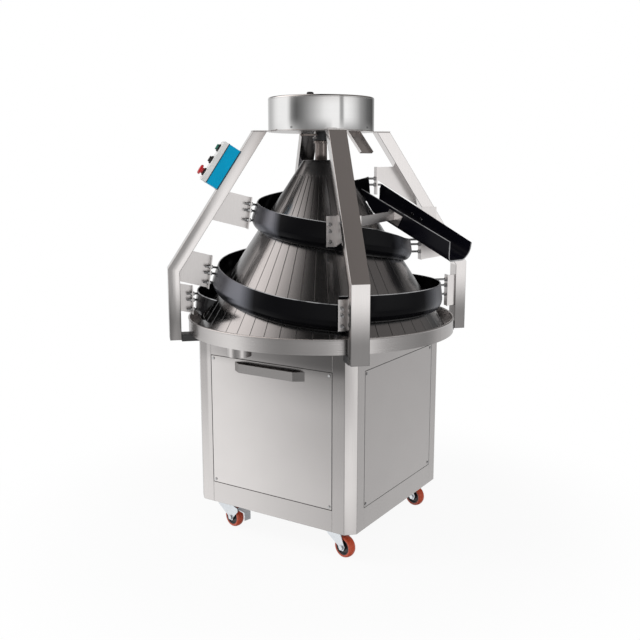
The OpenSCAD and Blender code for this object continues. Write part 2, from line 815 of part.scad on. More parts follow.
module strip(s0, s1, up, rake) {
    n = ceil((s1 - s0) / track_step);
    m = len(section);
    pts = [for (i = [0 : n]) let (s = s0 + (s1 - s0) * i / n, r = lip_r(s, up), z = lip_z(s, up),
        k = rake * max(0, 1 - (s - s0) / 45)) for (p = section) let (a = k * p[1] / track_h - 135 - s)
        let (q = r + p[0] - lean(p[1], s)) [q * cos(a), q * sin(a), z + lift(p[1], s)]];
    sides = [for (i = [0 : n - 1]) for (j = [0 : m - 1]) let (a = i * m + j, b = i * m + (j + 1) % m)
        each [[a, b, b + m], [a, b + m, a + m]]];
    cap = [for (j = [0 : m / 2 - 2]) each [[j, m - 1 - j, j + 1], [j + 1, m - 1 - j, m - 2 - j]]];
    end = [for (f = cap) [f[0] + n * m, f[2] + n * m, f[1] + n * m]];
    polyhedron(pts, concat(sides, cap, end));
}

module track_lower() {
    color(black) strip(-7, 275, false, start_rake);
}

module track_middle() {
    color(black) strip(270, 540, true, 0);
}

module track_upper() {
    color(black) strip(540, 891, true, 0);
}

module at_flange(m) {
    rotate([0, 0, m[0]]) translate([flange_u(m), 0, mark_z0(m)]) rotate([0, -m[9], 0]) children();
}

module bracket(m) {
    a = m[9];
    up = [-sin(a), cos(a)];
    through = bracket_t * [cos(a), sin(a)];
    l = mark_z1(m) - mark_z0(m);
    f = [flange_u(m), mark_z0(m)];
    over = len(m) > 10;
    p = f + through / 2 + (over ? 1 + m[11] : 1) * up;
    q = f + through / 2 + (l - 1) * up;
    za = web_z(p[0], p[1], over ? m[10] : m[8]);
    zb = web_z(q[0], q[1], m[8]);
    rotate([0, 0, m[0]]) rotate([90, 0, 0]) {
        translate([0, 0, m[4] > 0 ? -m[3] - bracket_t : -m[3]]) linear_extrude(bracket_t)
            polygon(concat([p, [arm_in(za), za]],
                za < bend_in && zb > bend_in ? [[arm_ri, bend_in]] : [], [[arm_in(zb), zb], q]));
        difference() {
            translate([0, 0, m[4] > 0 ? -m[3] - flange_w : -m[3]]) linear_extrude(flange_w)
                polygon([f, f + through, f + through + l * up, f + l * up]);
            for (dz = stud_dz(m)) translate(concat(f + stud_v(m, dz) * up, -stud_t(m))) rotate([0, 90, a])
                translate([0, 0, -1]) cylinder(r = stud_r, h = bracket_t + 2);
        }
    }
}

module track_brackets() {
    color(steel) for (m = marks) bracket(m);
}

module track_studs() {
    color(steel) for (m = marks) for (dz = stud_dz(m)) {
        d = stud_d(m, dz, 0, 5) + stud_bite;
        at_flange(m) translate([0, stud_t(m), stud_v(m, dz)]) rotate([0, 90, 0]) {
            translate([0, 0, -d]) cylinder(r = stud_r, h = d + bracket_t + stud_out);
            translate([0, 0, bracket_t]) cylinder(r = nut_r, h = nut_h, $fn = 6);
            translate([0, 0, -nut_h]) cylinder(r = nut_r, h = nut_h, $fn = 6);
        }
    }
}

module chute_frame() {
    translate([chute_ref, chute_ym, chute_z]) rotate([0, chute_a, 0]) children();
}

module trough(out, top) {
    w = chute_w / 2 - out;
    r = chute_r - out;
    translate([-w, r + out]) square([2 * w, chute_h - r - out + top]);
    translate([r - w, out]) square([2 * (w - r), chute_h]);
    for (sx = [-1, 1]) translate([sx * (w - r), r + out]) circle(r = r);
}

module outfeed_chute() {
    color(black) difference() {
        chute_frame() {
            rotate([90, 0, 90]) translate([0, -chute_h, -60]) linear_extrude(620) difference() {
                trough(0, 0);
                trough(chute_t, 10);
            }
            translate([0, chute_w / 2, 0]) rotate([90, 0, 0]) linear_extrude(chute_t)
                polygon([[0, -5], [450, -5], [450, 0], [0, chute_rise]]);
        }
        translate([chute_x0 - 300, 0, 900]) cube([300, 400, 600]);
        translate([chute_x1, chute_y, 800]) rotate([0, 0, -chute_end]) translate([0, -200, 0])
            cube([300, 700, 600]);
        translate([0, 0, cone_z0]) cylinder(r1 = cone_r0 + chute_clear, r2 = cone_r1 + chute_clear,
                                            h = cone_z1 - cone_z0);
    }
}

module chute_supports() {
    w = chute_w / 2;
    x2 = chute_ref + 188 * cos(chute_a) - 30 * sin(chute_a);
    u = arm_in(bar_z) + arm_d / cos(arm_lean) / 2;
    a = [u + arm_w / 2 + 3, arm_w / 2 + 3 - u] / sqrt(2);
    b = [x2, chute_y - 3];
    c = (chute_y + chute_w + 0.3) * sqrt(2) + arm_w / 2 + 6;
    color(steel) {
        chute_frame() translate([158, -w - 4, -50]) cube([60, 4, 40]);
        rotate([0, 0, -45]) translate([u - 14, arm_w / 2, bar_z - 28]) cube([28, 4, 48]);
        translate([a[0], a[1], bar_z - bar_h / 2]) rotate([0, 0, atan2(b[1] - a[1], b[0] - a[0])])
            translate([0, -bar_t / 2, 0]) cube([norm(b - a), bar_t, bar_h]);
        chute_frame() translate([175, w, -48]) cube([70, 4, 40]);
        rotate([0, 0, 45]) translate([c, -arm_w / 2 - 6, bar_z - 20]) cube([u + 16 - c, 6, 45]);
    }
}

module bolts() {
    color(steel) {
        for (a = [-90, 0, 90, 180]) rotate([0, 0, a]) translate([drum_r - 0.2, 0, drum_z0 + 8])
            rotate([0, 90, 0]) cylinder(r = 3.5, h = 2.5);
        chute_frame() for (x = [190, 230]) translate([x, chute_w / 2 - chute_t, -23]) rotate([90, 0, 0])
            cylinder(r = 6, h = 4);
        chute_frame() for (x = [174, 202]) translate([x, -chute_w / 2 + chute_t, -22]) rotate([-90, 0, 0])
            cylinder(r = 6, h = 4);
    }
}

module on_box() {
    rotate([0, 0, -135]) translate([box_r, 0, box_z]) rotate([0, -arm_lean, 0]) children();
}

module control_box() {
    color([0.10, 0.50, 0.72]) on_box() difference() {
        translate([0, -box_w / 2, -box_l / 2]) cube([box_d, box_w, box_l]);
        translate([box_t, box_t - box_w / 2, box_t - box_l / 2])
            cube([box_d, box_w - 2 * box_t, box_l - 2 * box_t]);
    }
}

module at_button(i) {
    on_box() translate([lid_out, 0, button_p * (1 - i)]) rotate([0, 90, 0]) children();
}

module control_lid() {
    color([0.82, 0.83, 0.82]) difference() {
        on_box() difference() {
            translate([box_d, -box_w / 2, -box_l / 2]) cube([box_lid, box_w, box_l]);
            translate([box_d - 1, box_t - box_w / 2, box_t - box_l / 2])
                cube([box_lid - box_t + 1, box_w - 2 * box_t, box_l - 2 * box_t]);
        }
        for (i = [0 : 2]) at_button(i) translate([0, 0, -box_t - 1])
            cylinder(r = button_r + button_c, h = box_t + 2);
    }
}

module button_collars() {
    color(black) for (i = [0 : 2]) at_button(i) difference() {
        cylinder(r = collar_out, h = collar_up);
        translate([0, 0, -1]) cylinder(r = button_r + button_c, h = collar_up + 2);
    }
}

module push_button(i) {
    at_button(i) translate([0, 0, -stem_l]) cylinder(r = button_r, h = stem_l + collar_up + button_up);
}

module start_button() {
    color([0.05, 0.45, 0.32]) push_button(0);
}

module stop_button() {
    color(black) push_button(1);
}

module emergency_stop() {
    h = collar_up + mush_gap;
    color([0.75, 0.05, 0.06]) at_button(2) {
        translate([0, 0, -stem_l]) cylinder(r = button_r, h = stem_l + h);
        translate([0, 0, h]) cylinder(r = mush_r, h = mush_h - 4);
        translate([0, 0, h + mush_h - 4]) cylinder(r1 = mush_r, r2 = mush_r - 5, h = 4);
    }
}

module cable_gland() {
    color(dark) translate([gland_x, half, gland_z]) rotate([-90, 0, 0]) difference() {
        union() {
            cylinder(r = gland_r, h = 8, $fn = 6);
            cylinder(r = gland_r - 4, h = gland_l);
        }
        translate([0, 0, -1]) cylinder(r = gland_bore, h = gland_l + 2);
    }
}

module at_caster(i) {
    p = caster_pose[i];
    translate([p[0] * cast_x, p[1] * cast_y, 0]) rotate([0, 0, cast_az]) children();
}

module caster_plates() {
    z = cab_z0 - plate_t;
    color(steel) for (i = [0 : 3]) translate([caster_pose[i][0] * cast_x, caster_pose[i][1] * cast_y, 0]) {
        translate([-plate_w / 2, -plate_w / 2, z]) cube([plate_w, plate_w, plate_t]);
        translate([0, 0, swivel_z0 - 5]) cylinder(r = king_r, h = z - swivel_z0 + 5);
        translate([0, 0, swivel_z0 - 5]) cylinder(r = king_r + 4, h = 4);
    }
}

module fork(i, brake) {
    b = fork_in / 2;
    top = swivel_z0 + 3;
    low = [[trail + 15, axle_z + 4], [trail + 9, axle_z - 11], [trail - 8, axle_z - 11],
           [trail - 17, axle_z + 4], [-34, swivel_z0 - 18], [-36, top]];
    high = brake ? [[25, top], [pedal_x + 8, pedal_z + 8], [pedal_x + 9, pedal_z - 6]] : [[27, top]];
    side = concat(high, low);
    color(steel) at_caster(i) {
        difference() {
            union() {
                translate([0, 0, swivel_z0]) cylinder(r = swivel_r, h = swivel_h);
                translate([-36, -b - fork_t, swivel_z0]) cube([61, 2 * (b + fork_t), 3]);
            }
            translate([0, 0, swivel_z0 - 1]) cylinder(r = king_r + run_c, h = swivel_h + 2);
        }
        for (sy = [-1, 1]) translate([0, sy > 0 ? b + fork_t : -b, 0]) rotate([90, 0, 0])
            linear_extrude(fork_t) polygon(side);
        translate([trail, b + fork_t + 5, axle_z]) rotate([90, 0, 0])
            cylinder(r = axle_r, h = 2 * (b + fork_t + 5));
        for (sy = [-1, 1]) translate([trail, sy > 0 ? b + fork_t + 5 : -b - fork_t, axle_z]) rotate([90, 0, 0])
            cylinder(r = axle_r + 4, h = 5, $fn = 6);
        if (brake) translate([pedal_x, b + 1, pedal_z]) rotate([90, 0, 0])
            cylinder(r = pedal_pin, h = 2 * b + 2);
    }
}

module fork_front() {
    fork(0, false);
}

module fork_left() {
    fork(1, true);
}

module fork_right() {
    fork(2, false);
}

module fork_back() {
    fork(3, true);
}

module hub(i) {
    color(black) at_caster(i) translate([trail, 0, axle_z]) rotate([90, 0, 0]) translate([0, 0, -hub_w / 2])
        rotate_extrude() polygon([[axle_r + run_c, 0], [14, 0], [14, 4], [hub_r - 4, 4], [hub_r - 4, 2.5],
            [hub_r, 2.5], [hub_r, hub_w - 2.5], [hub_r - 4, hub_w - 2.5], [hub_r - 4, hub_w - 4],
            [14, hub_w - 4], [14, hub_w], [axle_r + run_c, hub_w]]);
}

module tyre(i) {
    w = tyre_w / 2;
    color([0.80, 0.25, 0.10]) at_caster(i) translate([trail, 0, axle_z]) rotate([90, 0, 0]) rotate_extrude()
        polygon([[hub_r, -w], [wheel_r - 4, -w], [wheel_r - 1, 3 - w], [wheel_r, 8 - w], [wheel_r, w - 8],
                 [wheel_r - 1, w - 3], [wheel_r - 4, w], [hub_r, w]]);
}

module hub_front() {
    hub(0);
}

module hub_left() {
    hub(1);
}

module hub_right() {
    hub(2);
}

module hub_back() {
    hub(3);
}

module tyre_front() {
    tyre(0);
}

module tyre_left() {
    tyre(1);
}

module tyre_right() {
    tyre(2);
}

module tyre_back() {
    tyre(3);
}

module pedal(i) {
    l = pedal_l;
    k = pedal_t;
    d = pedal_d;
    color(steel) at_caster(i) translate([pedal_x, pedal_w / 2, pedal_z]) rotate([90, 0, 0]) difference() {
        union() {
            cylinder(r = pedal_pin + 2, h = pedal_w);
            linear_extrude(pedal_w) polygon([[0, 1], [l, 1 - d], [l, 1 - d - pedal_h], [l + k, 1 - d - pedal_h],
                [l + k, 1 + k - d], [0, 1 + k]]);
        }
        translate([0, 0, -1]) cylinder(r = pedal_pin + run_c, h = pedal_w + 2);
    }
}

module pedal_back() {
    pedal(3);
}

module pedal_left() {
    pedal(1);
}

corner_posts();
base_frame();
top_frame();
front_panel();
side_panels();
panel_screws();
pull_handle();
catch_pan();
crumb_spout();
arm_feet();
arm_front();
arm_left();
arm_back();
arm_right();
head_plate();
flour_drum();
drum_lid();
lid_knob();
upper_bearing();
flour_lever();
flour_channel();
flour_paddles();
cone();
main_shaft();
lower_bearing();
driven_pulley();
drive_pulley();
drive_belt();
gear_motor();
motor_hangers();
track_lower();
track_middle();
track_upper();
track_brackets();
track_studs();
outfeed_chute();
chute_supports();
bolts();
control_box();
control_lid();
button_collars();
start_button();
stop_button();
emergency_stop();
cable_gland();
caster_plates();
fork_front();
fork_left();
fork_right();
fork_back();
hub_front();
hub_left();
hub_right();
hub_back();
tyre_front();
tyre_left();
tyre_right();
tyre_back();
pedal_left();
pedal_back();
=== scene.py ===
"""Looks of a conical dough rounder: finishes, fine shapes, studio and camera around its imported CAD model."""

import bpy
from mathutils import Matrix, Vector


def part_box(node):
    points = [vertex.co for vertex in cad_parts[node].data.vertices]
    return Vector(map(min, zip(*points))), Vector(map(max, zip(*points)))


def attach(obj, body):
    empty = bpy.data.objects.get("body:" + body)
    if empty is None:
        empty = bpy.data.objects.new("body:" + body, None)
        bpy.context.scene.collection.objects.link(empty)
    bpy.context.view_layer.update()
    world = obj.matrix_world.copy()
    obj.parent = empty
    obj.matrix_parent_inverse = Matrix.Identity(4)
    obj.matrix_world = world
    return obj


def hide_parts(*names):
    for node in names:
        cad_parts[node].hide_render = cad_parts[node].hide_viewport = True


bl_info = {
    "name": "Conical dough rounder",
    "version": (1, 0, 0),
    "blender": (4, 5, 0),
    "location": "3D View > Sidebar > Rounder",
    "description": "Finishes, fine shapes and studio for a conical dough rounder",
    "category": "Object",
}

import math

import bmesh
import bpy
import numpy as np
from bpy.props import FloatProperty, FloatVectorProperty, IntProperty, PointerProperty

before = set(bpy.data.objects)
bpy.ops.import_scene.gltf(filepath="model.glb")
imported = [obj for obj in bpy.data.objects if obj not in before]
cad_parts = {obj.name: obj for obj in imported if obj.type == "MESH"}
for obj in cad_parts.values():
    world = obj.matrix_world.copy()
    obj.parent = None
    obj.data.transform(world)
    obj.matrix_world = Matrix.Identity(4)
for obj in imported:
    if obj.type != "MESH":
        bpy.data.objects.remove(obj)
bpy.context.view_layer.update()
MM = 0.001
UPRIGHT = (0, 0, 1)
CORNERS = {"front": (1, -1), "left": (-1, -1), "right": (1, 1), "back": (-1, 1)}

WHITE = (1.0, 1.0, 1.0, 1.0)
FLOOR_GREY = (0.82, 0.82, 0.82, 1.0)
WARM_LIGHT = (1.0, 0.92, 0.88, 1.0)
DUST = (0.55, 0.54, 0.52, 1.0)
# Pale bare metal for worn edges, which also paints the highlight along them.
BARE_METAL_AND_HIGHLIGHT = (0.50, 0.50, 0.51, 1.0)
# Dark metal of the painted sheen on the tracks, which stands in for reflections.
PAINTED_SHEEN_METAL = (0.185, 0.19, 0.215, 1.0)


def metres(name, description, default):
    """A length in metres that a user may change."""
    return FloatProperty(name=name, description=description, default=default, unit="LENGTH")


def degrees(name, description, default):
    """An angle that a user may change, with its default in degrees."""
    return FloatProperty(name=name, description=description, default=math.radians(default), subtype="ANGLE")


def triple(name, description, default, subtype="COLOR"):
    """A colour, as linear values, or a place in metres that a user may change."""
    return FloatVectorProperty(name=name, description=description, default=default, subtype=subtype, size=3)


class RounderCone(bpy.types.PropertyGroup):
    """Sizes of the grooved cone."""

    top_radius: metres("Top radius", "Radius of the cone's head", 0.066)
    foot_radius: metres("Foot radius", "Radius of the cone's foot", 0.468)
    top: metres("Top", "Height of the cone's head", 1.380)
    foot: metres("Foot", "Height of the cone's foot", 0.770)
    bore: metres("Bore", "Radius of the shaft in the cone", 0.0225)
    wall: metres("Wall", "Wall of the casting, measured level", 0.010)
    cap: metres("Cap", "Thickness of the cone's head", 0.034)
    grooves: IntProperty(name="Grooves", description="Number of straight grooves", default=50, min=3)
    groove_width: metres("Groove width", "Width of a groove", 0.003)
    groove_depth: metres("Groove depth", "Depth of a groove", 0.002)
    groove_top: metres("Groove top", "Height at which the grooves run out", 1.322)


class RounderTrack(bpy.types.PropertyGroup):
    """Sizes of the spiral track."""

    gap: metres("Gap", "Level gap between the track's lip and the cone", 0.002)
    height: metres("Height", "Height of the track's section", 0.096)
    low_height: metres("Low height", "Height of the section under the chute", 0.080)
    rise: metres("Rise", "Height of the track's start over the cone's foot", 0.036)
    rake: degrees("Rake", "Turn by which the starting end leans back", 20)
    step: degrees("Step", "Turn between two modelled sections", 1.5)


class RounderCabinet(bpy.types.PropertyGroup):
    """Sizes of the cabinet's panels."""

    half: metres("Half width", "Half width to the middle of a panel's seam", 0.26125)
    low: metres("Low seam", "Height of a panel's lower seam", 0.18775)
    high: metres("High seam", "Height of a panel's upper seam", 0.67625)
    face: metres("Face", "Distance of a panel's face from the axis", 0.343)
    bead: metres("Bead", "Radius of a panel's seal", 0.0014)


class RounderChute(bpy.types.PropertyGroup):
    """Sizes of the outfeed chute."""

    start: triple("Start", "Middle of the chute's upper edge at its head", (0.100, 0.1725, 1.282),
                  "TRANSLATION")
    slope: degrees("Slope", "Fall of the chute", 26.5)
    width: metres("Width", "Width over the chute's walls", 0.145)
    depth: metres("Depth", "Depth of the chute", 0.060)
    wall: metres("Wall", "Thickness of the chute's wall", 0.004)
    rise: metres("Rise", "Extra height of the far wall at the head", 0.018)
    begin: metres("Begin", "Sideways place of the chute's head", 0.116)
    end: metres("End", "Sideways place of the near wall's end", 0.479)
    end_turn: degrees("End turn", "Turn of the low end", 9.4)
    clear: metres("Clear", "Gap between the chute and the cone", 0.002)
    cut: metres("Cut", "How far the far low corner of the end is cut back", 0.022)
    deepen: FloatProperty(name="Deepen", description="Share by which the chute is deeper at its end",
                          default=0.10, subtype="FACTOR")


class RounderCaster(bpy.types.PropertyGroup):
    """Sizes of the casters' wheels."""

    pivot_x: metres("Pivot across", "Sideways distance of a pivot from the middle", 0.246)
    pivot_y: metres("Pivot along", "Fore and aft distance of a pivot from the middle", 0.277)
    turn: degrees("Turn", "Direction in which the wheels trail at rest", -12)
    trail: metres("Trail", "Distance of an axle behind its pivot", 0.036)
    radius: metres("Wheel radius", "Radius over the tyre", 0.040)
    hub_radius: metres("Hub radius", "Radius under the tyre", 0.029)
    tyre_width: metres("Tyre width", "Width of the tyre", 0.030)
    hub_width: metres("Hub width", "Width over the hub's bosses", 0.034)
    axle_radius: metres("Axle radius", "Radius of the axle in the hub", 0.00505)


class RounderControls(bpy.types.PropertyGroup):
    """Sizes of the control box."""

    reach: metres("Reach", "Distance of the box's back from the machine's axis", 0.34536)
    height: metres("Height", "Height of the box's middle", 1.342)
    lean: degrees("Lean", "Lean of the arm that carries the box", 33)
    length: metres("Length", "Length of the box along the arm", 0.159)
    width: metres("Width", "Width of the box", 0.082)
    body_depth: metres("Body depth", "Depth of the blue body", 0.048)
    lid_depth: metres("Lid depth", "Depth of the pale lid", 0.020)
    pitch: metres("Pitch", "Distance between two controls", 0.050)
    button_radius: metres("Button radius", "Radius of a push button", 0.0107)
    collar_radius: metres("Collar radius", "Outer radius of a control's collar", 0.015)
    mushroom_radius: metres("Mushroom radius", "Radius of the stop mushroom", 0.019)


class RounderColours(bpy.types.PropertyGroup):
    """Colours of the finishes, as linear values."""

    steel: triple("Stainless", "Brushed stainless sheet and tube", (0.63, 0.605, 0.595))
    polished: triple("Polished", "Polished stainless drum and lid", (0.80, 0.795, 0.79))
    cone: triple("Cone", "Anodised cone", (0.42, 0.42, 0.425))
    coat: triple("Track coat", "Glossy black coat of the tracks", (0.005, 0.005, 0.006))
    blue: triple("Box body", "Blue moulding of the control box", (0.001, 0.440, 0.760))
    pale: triple("Box lid", "Pale moulding of the control box's lid", (0.88, 0.88, 0.87))
    green: triple("Start button", "Green start button", (0.005, 0.19, 0.13))
    red: triple("Stop mushroom", "Red stop mushroom", (0.52, 0.006, 0.014))
    black: triple("Black mouldings", "Collars, knob, hubs, seals and gland", (0.014, 0.014, 0.015))
    tyre: triple("Tyre", "Orange-red polyurethane tyre", (0.60, 0.075, 0.022))
    zinc: triple("Zinc", "Zinc-plated pressings", (0.72, 0.75, 0.78))


class RounderStudio(bpy.types.PropertyGroup):
    """Light, floor and camera."""

    ambient: FloatProperty(name="Ambient", description="Even light on matt surfaces", default=0.55, min=0)
    key_power: FloatProperty(name="Key", description="Power of the large lamp at the left",
                             default=80, unit="POWER")
    fill_power: FloatProperty(name="Fill", description="Power of the lamp at the right",
                              default=22, unit="POWER")
    floor_radius: metres("Floor", "Radius of the pale floor", 3.0)
    eye: triple("Camera", "Place of the camera", (1.7132, -2.7029, 1.3646), "TRANSLATION")
    tilt: degrees("Tilt", "Camera's tilt from straight down", 79.62)
    swing: degrees("Swing", "Camera's turn about the upright", 32.44)
    lens: FloatProperty(name="Lens", description="Focal length on a 36 mm frame",
                        default=47.85, unit="CAMERA")


class Value:
    """One shader output. Arithmetic on it adds Math nodes to its tree."""

    def __init__(self, maker, socket):
        self.maker = maker
        self.socket = socket

    def __add__(self, other):
        return self.maker.math("ADD", self, other)

    def __radd__(self, other):
        return self.maker.math("ADD", other, self)

    def __sub__(self, other):
        return self.maker.math("SUBTRACT", self, other)

    def __rsub__(self, other):
        return self.maker.math("SUBTRACT", other, self)

    def __mul__(self, other):
        return self.maker.math("MULTIPLY", self, other)

    def __truediv__(self, other):
        return self.maker.math("DIVIDE", self, other)

    def ramp(self, low, high):
        """0 below low, 1 above high, with a smooth rise between them."""
        return self.maker.node("ShaderNodeMapRange", {"interpolation_type": "SMOOTHSTEP"},
                               {"Value": self, "From Min": low, "From Max": high})


class Shader:
    """Adds nodes to one tree, starting from an empty one."""

    def __init__(self, tree):
        self.tree = tree
        tree.nodes.clear()

    def feed(self, inputs, sockets):
        """Links each value to its input, and sets the rest as constants."""
        for key, value in sockets.items():
            if isinstance(value, Value):
                self.tree.links.new(value.socket, inputs[key])
            else:
                inputs[key].default_value = value

    def node(self, kind, settings=None, sockets=None, out=0):
        """Adds a node, sets its settings first, then feeds its sockets with values or links."""
        made = self.tree.nodes.new(kind)
        for key, value in (settings or {}).items():
            setattr(made, key, value)
        self.feed(made.inputs, sockets or {})
        return Value(self, made.outputs[out] if made.outputs else None)

    def math(self, operation, first, second=0.0):
        """A Math node on two values."""
        return self.node("ShaderNodeMath", {"operation": operation}, {0: first, 1: second})

    def mix(self, share, first, second):
        """A blend of two colours by a share."""
        return self.node("ShaderNodeMix", {"data_type": "RGBA"}, {0: share, 6: first, 7: second}, out=2)

    def noise(self, scale, detail=2.0, roughness=0.5):
        """Noise on Object coordinates, with its own scale along each axis."""
        place = self.node("ShaderNodeTexCoord", out="Object")
        place = self.node("ShaderNodeMapping", None, {"Vector": place, "Scale": scale})
        return self.node("ShaderNodeTexNoise", None,
                         {"Vector": place, "Scale": 1.0, "Detail": detail, "Roughness": roughness})

    def split(self, vector):
        """The three parts of a vector."""
        made = self.node("ShaderNodeSeparateXYZ", None, {"Vector": vector}).socket.node
        return [Value(self, part) for part in made.outputs]

    def axes(self):
        """The three Object coordinates."""
        return self.split(self.node("ShaderNodeTexCoord", out="Object"))

    def facing(self):
        """The three parts of the direction in which a face looks."""
        return self.split(self.node("ShaderNodeNewGeometry", out="Normal"))

    def ray(self, kind):
        """1 for rays of one kind, 0 for others."""
        return self.node("ShaderNodeLightPath", out="Is %s Ray" % kind)

    def attribute(self, name):
        """A value that the piece's mesh carries."""
        return self.node("ShaderNodeAttribute", {"attribute_name": name}, out="Fac")

    def bump(self, height, strength, distance):
        """A normal bent by a height."""
        return self.node("ShaderNodeBump", None,
                         {"Height": height, "Strength": strength, "Distance": distance})

    def surface(self, **sockets):
        """The Principled shader, with socket names in lower case and underscores."""
        made = self.node("ShaderNodeBsdfPrincipled")
        names = {s.name.lower().replace(" ", "_"): s for s in made.socket.node.inputs}
        self.feed(names, sockets)
        self.node("ShaderNodeOutputMaterial", None, {"Surface": made})


def shade(colour, factor):
    """A colour made lighter or darker, with its alpha."""
    return tuple(min(1.0, c * factor) for c in colour) + (1.0,)


def new_finish(name):
    """An empty material and the shader that fills it."""
    material = bpy.data.materials.new(name)
    material.use_nodes = True
    return material, Shader(material.node_tree)


def brushed(name, colour, grain, rough=0.34, depth=0.12, shadow=None):
    """Brushed metal: fine lines by noise that is stretched along the brushing, over slow cloudy change.
    shadow takes the shader and gives the share of painted shade by which the metal is darker."""
    material, make = new_finish(name)
    lines = make.noise(grain, 3.0, 0.6)
    cloud = make.noise((3.1, 3.1, 3.1), 3.0)
    wipe = make.noise((9.0, 9.0, 14.0), 4.0)
    tone = make.mix(lines, shade(colour, 0.90), shade(colour, 1.07))
    tone = make.mix(cloud.ramp(0.35, 0.7) * 0.5, tone, shade(colour, 0.94))
    if shadow:
        tone = make.mix(shadow(make), tone, shade(colour, 0.03))
    make.surface(base_color=tone, metallic=1.0, roughness=rough - 0.05 + lines * 0.07 + wipe * 0.06,
                 normal=make.bump(lines, depth, 0.0002))
    return material


def painted(name, colour, rough, grain=900.0, depth=0.1, metallic=0.0, coat=0.0, shine=0.5, sheen=False):
    """Paint, coat or moulding: a fine even grain, slow change of tone, a little dust on faces that look up,
    and pale bare metal where the mesh carries an edge value, which also paints the highlight on the edge.
    With sheen, it turns to dark metal where the mesh carries a sheen value: a painted sheen that stands in
    for reflections."""
    material, make = new_finish(name)
    fine = make.noise((grain, grain, grain), 2.0)
    cloud = make.noise((14.0, 14.0, 14.0), 3.0)
    up = make.facing()[2]
    dust = up.ramp(0.6, 1.0) * cloud.ramp(0.45, 0.75) * 0.05
    tone = make.mix(cloud, shade(colour, 0.88), shade(colour, 1.12))
    tone = make.mix(dust, tone, DUST)
    # Pale edges: worn bare metal, and a painted highlight along the edge.
    tone = make.mix(make.attribute("edge") * cloud.ramp(0.25, 0.55), tone, BARE_METAL_AND_HIGHLIGHT)
    # Painted sheen: patches of dark metal that stand in for reflections on the coat.
    if sheen:
        metallic = make.attribute("sheen")
        rough = metallic * 0.22 + rough
        tone = make.mix(metallic, tone, PAINTED_SHEEN_METAL)
    make.surface(base_color=tone, metallic=metallic, roughness=rough - 0.03 + cloud * 0.06 + dust,
                 specular_ior_level=shine, coat_weight=coat, coat_roughness=0.08,
                 normal=make.bump(fine, depth, 0.0001))
    return material


def plated(name, colour, rough=0.3):
    """Plated metal: small crystals of slightly different tone."""
    material, make = new_finish(name)
    place = make.node("ShaderNodeTexCoord", out="Object")
    grain = make.node("ShaderNodeTexVoronoi", None, {"Vector": place, "Scale": 260.0}, out="Color")
    grain = make.node("ShaderNodeSeparateColor", None, {"Color": grain})
    cloud = make.noise((30.0, 30.0, 30.0), 3.0)
    tone = make.mix(grain, shade(colour, 0.88), shade(colour, 1.06))
    make.surface(base_color=tone, metallic=1.0, roughness=rough + grain * 0.08 + cloud * 0.05,
                 normal=make.bump(cloud, 0.05, 0.0003))
    return material


def grooved_metal(name, colour):
    """Anodised cone: turned rings, slow change of tone, grooves darkened toward their bottom by painted shade,
    and painted shade at the neck, under the head."""
    material, make = new_finish(name)
    rings = make.noise((2.0, 2.0, 1500.0), 2.0)
    cloud = make.noise((5.0, 5.0, 5.0), 3.0)
    deep = make.attribute("groove")
    tone = make.mix(cloud, shade(colour, 0.9), shade(colour, 1.1))
    # Painted shade in the grooves, deepest at their bottom.
    tone = make.mix(deep * 0.45, tone, shade(colour, 0.12))
    z = make.axes()[2]
    # Painted shade at the neck, under the head.
    tone = make.mix(z.ramp(1.12, 1.30) * 0.6, tone, shade(colour, 0.03))
    make.surface(base_color=tone, metallic=1.0, roughness=0.17 + rings * 0.05 + cloud * 0.05 + deep * 0.1,
                 normal=make.bump(rings, 0.06, 0.0002))
    return material


def moulded_tyre(name, colour):
    """Cast polyurethane: faint flow marks under a waxy skin, with scuffs where the tread rolls."""
    material, make = new_finish(name)
    flow = make.noise((45.0, 45.0, 90.0), 3.0)
    scuff = make.noise((320.0, 320.0, 320.0), 4.0)
    worn = make.attribute("tread") * scuff.ramp(0.45, 0.7)
    tone = make.mix(flow, shade(colour, 0.85), shade(colour, 1.15))
    tone = make.mix(worn * 0.4, tone, shade(colour, 0.45))
    make.surface(base_color=tone, roughness=0.26 + worn * 0.3 + flow * 0.05, coat_weight=0.2,
                 coat_roughness=0.15, normal=make.bump(scuff, 0.05, 0.0002))
    return material


def patch(points, loop_rows=False, loop_columns=False):
    """Points of a grid as rows of x, y, z, and the quads that join each point to the next in row and
    column."""
    rows, columns = points.shape[:2]
    index = np.arange(rows * columns).reshape(rows, columns)
    if loop_rows:
        index = np.vstack([index, index[:1]])
    if loop_columns:
        index = np.hstack([index, index[:, :1]])
    quads = np.stack([index[:-1, :-1], index[:-1, 1:], index[1:, 1:], index[1:, :-1]], -1)
    return points.reshape(-1, 3), quads.reshape(-1, 4)


def rounded(corners, radii, steps=5):
    """A line with its corners rounded: each corner is a parabola between the points that lie a radius
    before and after it. corners is n by 2, and a radius of 0 at each end keeps the line open."""
    corners = np.asarray(corners, float)
    radii = np.broadcast_to(np.asarray(radii, float), len(corners))[:, None]
    before = np.roll(corners, 1, 0) - corners
    after = np.roll(corners, -1, 0) - corners
    start = corners + before / np.linalg.norm(before, axis=1, keepdims=True) * radii
    end = corners + after / np.linalg.norm(after, axis=1, keepdims=True) * radii
    t = np.linspace(0, 1, steps)[None, :, None]
    arc = (1 - t) ** 2 * start[:, None] + 2 * t * (1 - t) * corners[:, None] + t ** 2 * end[:, None]
    return arc.reshape(-1, 2)


